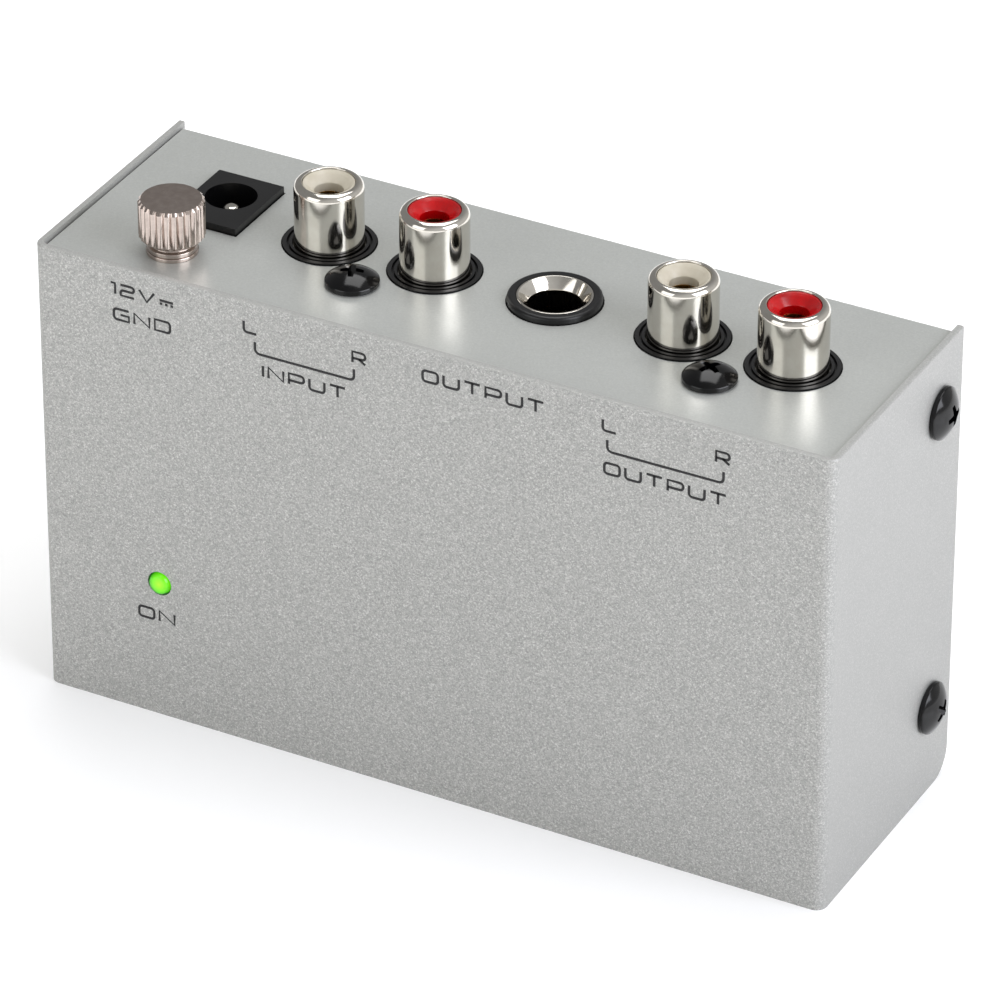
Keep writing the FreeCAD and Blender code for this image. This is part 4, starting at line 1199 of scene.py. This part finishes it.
@dataclass(frozen=True)
class Stroke:
    """One pen stroke: its points, each with the share of the corner round that it gets."""

    points: tuple[Point3, ...]
    closed: bool = False


def pen(text: str) -> Stroke:
    """Reads a stroke in a letter's unit square.

    Args:
        text: Points such as "0,1", with an "r" after a rounded corner, and a last "z" if it is closed.

    Returns:
        The stroke.
    """
    words = text.split()
    closed = words[-1] == "z"
    points = []
    for word in words[:-1] if closed else words:
        x, y = word.rstrip("r").split(",")
        points.append((float(x), float(y), float(word.endswith("r"))))
    return Stroke(tuple(points), closed)


# Each letter's width as a share of the word's full letter, and its strokes
LETTERS: dict[str, tuple[float, tuple[Stroke, ...]]] = {
    "O": (1.0, (pen("0,0r 1,0r 1,1r 0,1r z"),)),
    "U": (1.0, (pen("0,1 0,0r 1,0r 1,1"),)),
    "T": (1.0, (pen("0,1 1,1"), pen("0.5,1 0.5,0"))),
    "P": (1.0, (pen("0,0 0,1 1,1r 1,0.36r 0,0.36"),)),
    "I": (0.0, (pen("0,0 0,1"),)),
    "N": (1.0, (pen("0,0 0,1 1,0 1,1"),)),
    "G": (1.0, (pen("1,1 0,1r 0,0r 1,0 1,0.5 0.45,0.5"),)),
    "D": (1.0, (pen("0,0 1,0r 1,1r 0,1 z"),)),
    "L": (0.85, (pen("0,1 0,0r 1,0"),)),
    "R": (0.95, (pen("0,0 0,1 1,1r 1,0.4r 0,0.4"), pen("0.5,0.4 1,0"))),
    "V": (1.05, (pen("0,1 0.5,0 1,1"),)),
    "1": (0.3, (pen("0,1 1,1 1,0"),)),
    "2": (0.95, (pen("0,1 1,1r 1,0.5r 0,0.5r 0,0 1,0"),)),
    "=": (0.95, (pen("0,0.55 1,0.55"), *(pen(f"{left},0.25 {right},0.25")
                                         for left, right in ((0, 0.2), (0.4, 0.6), (0.8, 1))))),
}


@dataclass
class FacePrinting:
    """The plain functional marks that are screen-printed on the cover's face."""

    height: float = 1.75
    stroke: float = 0.33
    ink: float = 0.02
    corner: float = 0.42
    gap: float = 0.42
    words: tuple[tuple[str, float, float, float], ...] = (
        ("12V=", -37.3, 58.0, 8.7), ("GND", -37.4, 54.6, 7.9), ("L", -22.85, 57.7, 2.0),
        ("R", -8.5, 57.6, 2.0), ("INPUT", -15.8, 52.3, 11.2), ("OUTPUT", 7.6, 57.7, 15.9),
        ("L", 23.8, 57.7, 2.0), ("R", 38.1, 57.65, 2.0), ("OUTPUT", 30.9, 52.1, 15.7),
        ("ON", -36.5, 14.1, 5.2),
    )
    brackets: tuple[tuple[float, float, float], ...] = ((-15.7, 55.2, 13.4), (30.9, 55.1, 15.0))
    bracket_leg: float = 1.5
    bracket_round: float = 1.4
    sunk: float = 0.3

    def word(self, text: str, x: float, z: float, width: float) -> list[Stroke]:
        """Lays a word's strokes out on the face.

        Args:
            text: The letters.
            x: The middle of the word along the face.
            z: The middle of the word up the face.
            width: The word's whole width.

        Returns:
            The strokes, in millimetres on the face.
        """
        shares = [LETTERS[letter][0] for letter in text]
        gaps = self.gap * self.height * (len(text) - 1)
        unit = (width - self.stroke - gaps) / max(sum(shares), 0.01)
        out: list[Stroke] = []
        rise = self.height - self.stroke
        start = x - (width - self.stroke) / 2
        for letter, share in zip(text, shares):
            for stroke in LETTERS[letter][1]:
                spots = tuple((start + px * share * unit, z + (py - 0.5) * rise, rounding)
                              for px, py, rounding in stroke.points)
                out.append(Stroke(spots, stroke.closed))
            start += share * unit + self.gap * self.height
        return out

    def strokes(self) -> list[Stroke]:
        """Lays out every stroke on the face.

        Returns:
            The strokes, in millimetres on the face.
        """
        out = [stroke for word in self.words for stroke in self.word(*word)]
        for x, z, width in self.brackets:
            half, leg = width / 2 - self.stroke / 2, self.bracket_leg / 2
            out.append(Stroke((
                (x - half, z + leg, 0.0), (x - half, z - leg, self.bracket_round),
                (x + half, z - leg, self.bracket_round), (x + half, z + leg, 0.0))))
        return out

    def build(self) -> None:
        """Prints the strokes and lays them on the face."""
        places: list[Point3] = []
        rounds: list[float] = []
        edges: list[tuple[int, int]] = []
        for stroke in self.strokes():
            first, count = len(places), len(stroke.points)
            places += [(x * MM, z * MM, 0.0) for x, z, _ in stroke.points]
            rounds += [rounding for _, _, rounding in stroke.points]
            edges += [(first + i, first + i + 1) for i in range(count - 1)]
            if stroke.closed:
                edges.append((first + count - 1, first))
        mesh = bpy.data.meshes.new("pen_path")
        mesh.from_pydata(places, edges, [])
        mesh.attributes.new("round", "FLOAT", "POINT").data.foreach_set("value", rounds)
        printed = InkStrokes().run(hold("pen_path", mesh), "face_printing", {
            "Width": self.stroke * MM, "Thickness": self.ink * MM, "Round": self.corner * MM,
            "Material": PRINTING_INK.material()})
        ahead = Vector((0.0, PLAN.front - self.ink * self.sunk, 0.0)) * MM
        printed.data.transform(Matrix.Translation(ahead) @ Matrix.Rotation(math.pi / 2, 4, "X"))
        settle(printed, "box", PRINTING_INK, "cover_paint")


def cad_node(name: str) -> Thing:
    """Finds a CAD node.

    Args:
        name: The node's name.

    Returns:
        The node.
    """
    return next(item for item in bpy.data.objects if item.get("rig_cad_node") == name)


def dress_node(name: str, finish: Finish) -> None:
    """Gives a CAD node its finish.

    Args:
        name: The node's name.
        finish: What its surface is made of.
    """
    for slot in cad_node(name).material_slots:
        slot.link = "OBJECT"
        slot.material = finish.material()
    LOG.info("%s: node dressed with %s", name, finish.name)


def ease_edges(name: str) -> None:
    """Rounds a CAD node's sharp edges a little, so that they catch the light as sheared sheet does.

    Args:
        name: The node.
    """
    ease = cad_node(name).modifiers.new("eased_edges", "BEVEL")
    ease.width = EASED_MM * MM
    ease.segments = 2
    ease.limit_method = "ANGLE"
    ease.angle_limit = math.radians(EASED_FROM)
    ease.use_clamp_overlap = True


@dataclass
class Studio:
    """The camera, the lamps, the world and the floor."""

    azimuth: float = 27.919
    elevation: float = 31.876
    roll: float = 0.086
    distance: float = 840.423
    target: Point3 = (0.842, -0.5, 31.883)
    focal_px: float = 7132.57
    picture_px: float = 1000.0
    sensor: float = 36.0
    clip: Point2 = (0.05, 20.0)
    world_level: float = 0.36
    window: Point3 = (0.8, -0.1, -0.6)
    window_span: Point2 = (-0.75, 0.35)
    window_levels: Point2 = (0.3, 0.7)
    lamp_aim: float = 30.0
    lamps: tuple[tuple[str, Point3, float, float, str], ...] = (
        ("right_softbox", (520.0, -60.0, 330.0), 420.0, 2.7, "F4F6FF"),
        ("front_softbox", (-260.0, -560.0, 300.0), 460.0, 1.1, "FFFFFF"),
        ("top_softbox", (-40.0, 160.0, 620.0), 420.0, 1.95, "FFFFFF"),
    )
    floor_half: float = 3000.0
    floor_colour: str = "EDEDED"
    floor_reach: Point2 = (50.0, 300.0)
    floor_levels: Point2 = (0.27, 0.9)

    def camera(self) -> None:
        """Stands the camera where the photograph was taken from."""
        a, e = math.radians(self.azimuth), math.radians(self.elevation)
        back = Vector((math.sin(a) * math.cos(e), -math.cos(a) * math.cos(e), math.sin(e)))
        data = bpy.data.cameras.new("photo_camera")
        data.sensor_width = self.sensor
        data.lens = self.focal_px / self.picture_px * self.sensor
        data.clip_start, data.clip_end = self.clip
        camera = hold("photo_camera", data)
        camera.location = (Vector(self.target) + back * self.distance) * MM
        camera.rotation_mode = "QUATERNION"
        level = (-back).to_track_quat("-Z", "Y")
        camera.rotation_quaternion = level @ Quaternion((0, 0, 1), math.radians(self.roll))
        bpy.context.scene.camera = camera

    def light(self) -> None:
        """Hangs the soft lamps, all aimed at the middle of the box."""
        for name, place, size, power, tint in self.lamps:
            data = bpy.data.lights.new(name, "AREA")
            data.size = size * MM
            data.energy = power
            data.color = srgb(tint)[:3]
            lamp = hold(name, data)
            lamp.location = Vector(place) * MM
            aim = Vector((0, 0, self.lamp_aim * MM)) - lamp.location
            lamp.rotation_euler = aim.to_track_quat("-Z", "Y").to_euler()

    def world(self) -> None:
        """Makes a white background that metal and glass show too, at a plain level for the rest."""
        world = bpy.data.worlds.new("studio")
        bpy.context.scene.world = world
        tree = emptied(world)
        path = add(tree, "ShaderNodeLightPath").outputs
        sees = sums(tree, "MAXIMUM", path["Is Camera Ray"], path["Is Transmission Ray"])
        # What metal shows: a dark ceiling, and walls that brighten to the right, where the window is
        way = add(tree, "ShaderNodeTexCoord").outputs["Generated"]
        aside = add(tree, "ShaderNodeVectorMath", {"operation": "DOT_PRODUCT"}, {0: way, 1: self.window})
        level = spread(tree, aside.outputs["Value"], *self.window_span, *self.window_levels, "SMOOTHSTEP")
        plain, shown, mirrored = (
            add(tree, "ShaderNodeBackground", inputs={"Color": WHITE, "Strength": strength}).outputs[0]
            for strength in (self.world_level, 1.0, level))
        glossy = path["Is Glossy Ray"]
        lit = add(tree, "ShaderNodeMixShader", inputs={0: glossy, 1: plain, 2: mirrored}).outputs[0]
        seen = add(tree, "ShaderNodeMixShader", inputs={0: sees, 1: lit, 2: shown}).outputs[0]
        add(tree, "ShaderNodeOutputWorld", inputs={0: seen})

    def floor(self) -> None:
        """Lays a pale floor that is white to the camera and keeps the box's shadow."""
        half = self.floor_half * MM
        mesh = bpy.data.meshes.new("pale_floor")
        corners = [(-half, -half, 0), (half, -half, 0), (half, half, 0), (-half, half, 0)]
        mesh.from_pydata(corners, [], [(0, 1, 2, 3)])
        floor = hold("pale_floor", mesh)
        made = bpy.data.materials.new("pale_floor")
        tree = emptied(made)
        path = add(tree, "ShaderNodeLightPath").outputs
        look = {"Base Color": srgb(self.floor_colour), "Roughness": 0.16, "Specular IOR Level": 0.35}
        matt = add(tree, "ShaderNodeBsdfPrincipled", inputs=look).outputs[0]
        # Only the camera and mirrors see the glow, which grows away from the box so that its shadow stays
        near, far = (reach * MM for reach in self.floor_reach)
        level = spread(tree, length(tree, in_place(tree)), near, far, *self.floor_levels)
        none, glow = (
            add(tree, "ShaderNodeEmission", inputs={"Color": colour, "Strength": strength}).outputs[0]
            for colour, strength in ((BLACK, 0.0), (WHITE, level)))
        seen = sums(tree, "MAXIMUM", path["Is Camera Ray"], path["Is Glossy Ray"])
        lift = add(tree, "ShaderNodeMixShader", inputs={0: seen, 1: none, 2: glow}).outputs[0]
        both = add(tree, "ShaderNodeAddShader", inputs={0: matt, 1: lift}).outputs[0]
        add(tree, "ShaderNodeOutputMaterial", inputs={0: both})
        floor.data.materials.append(made)

    def build(self) -> None:
        """Sets the whole studio up."""
        self.camera()
        self.light()
        self.world()
        self.floor()
        bpy.context.scene.view_settings.view_transform = "Standard"


def main() -> None:
    """Loads the frame, builds every sub-assembly and sets the studio up."""
    logging.basicConfig(level=logging.INFO, format="%(message)s")
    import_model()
    for finish, names in NODE_FINISHES:
        for name in names.split():
            dress_node(name, finish)
    for name in ("cover", "chassis"):
        ease_edges(name)
    for assembly in (PhonoSockets(), PhoneSocket(), GroundTerminal(), CrossHeadScrews(), PowerLight(),
                     FacePrinting(), Studio()):
        LOG.info("building %s", type(assembly).__name__)
        assembly.build()


if __name__ == "__main__":
    main()
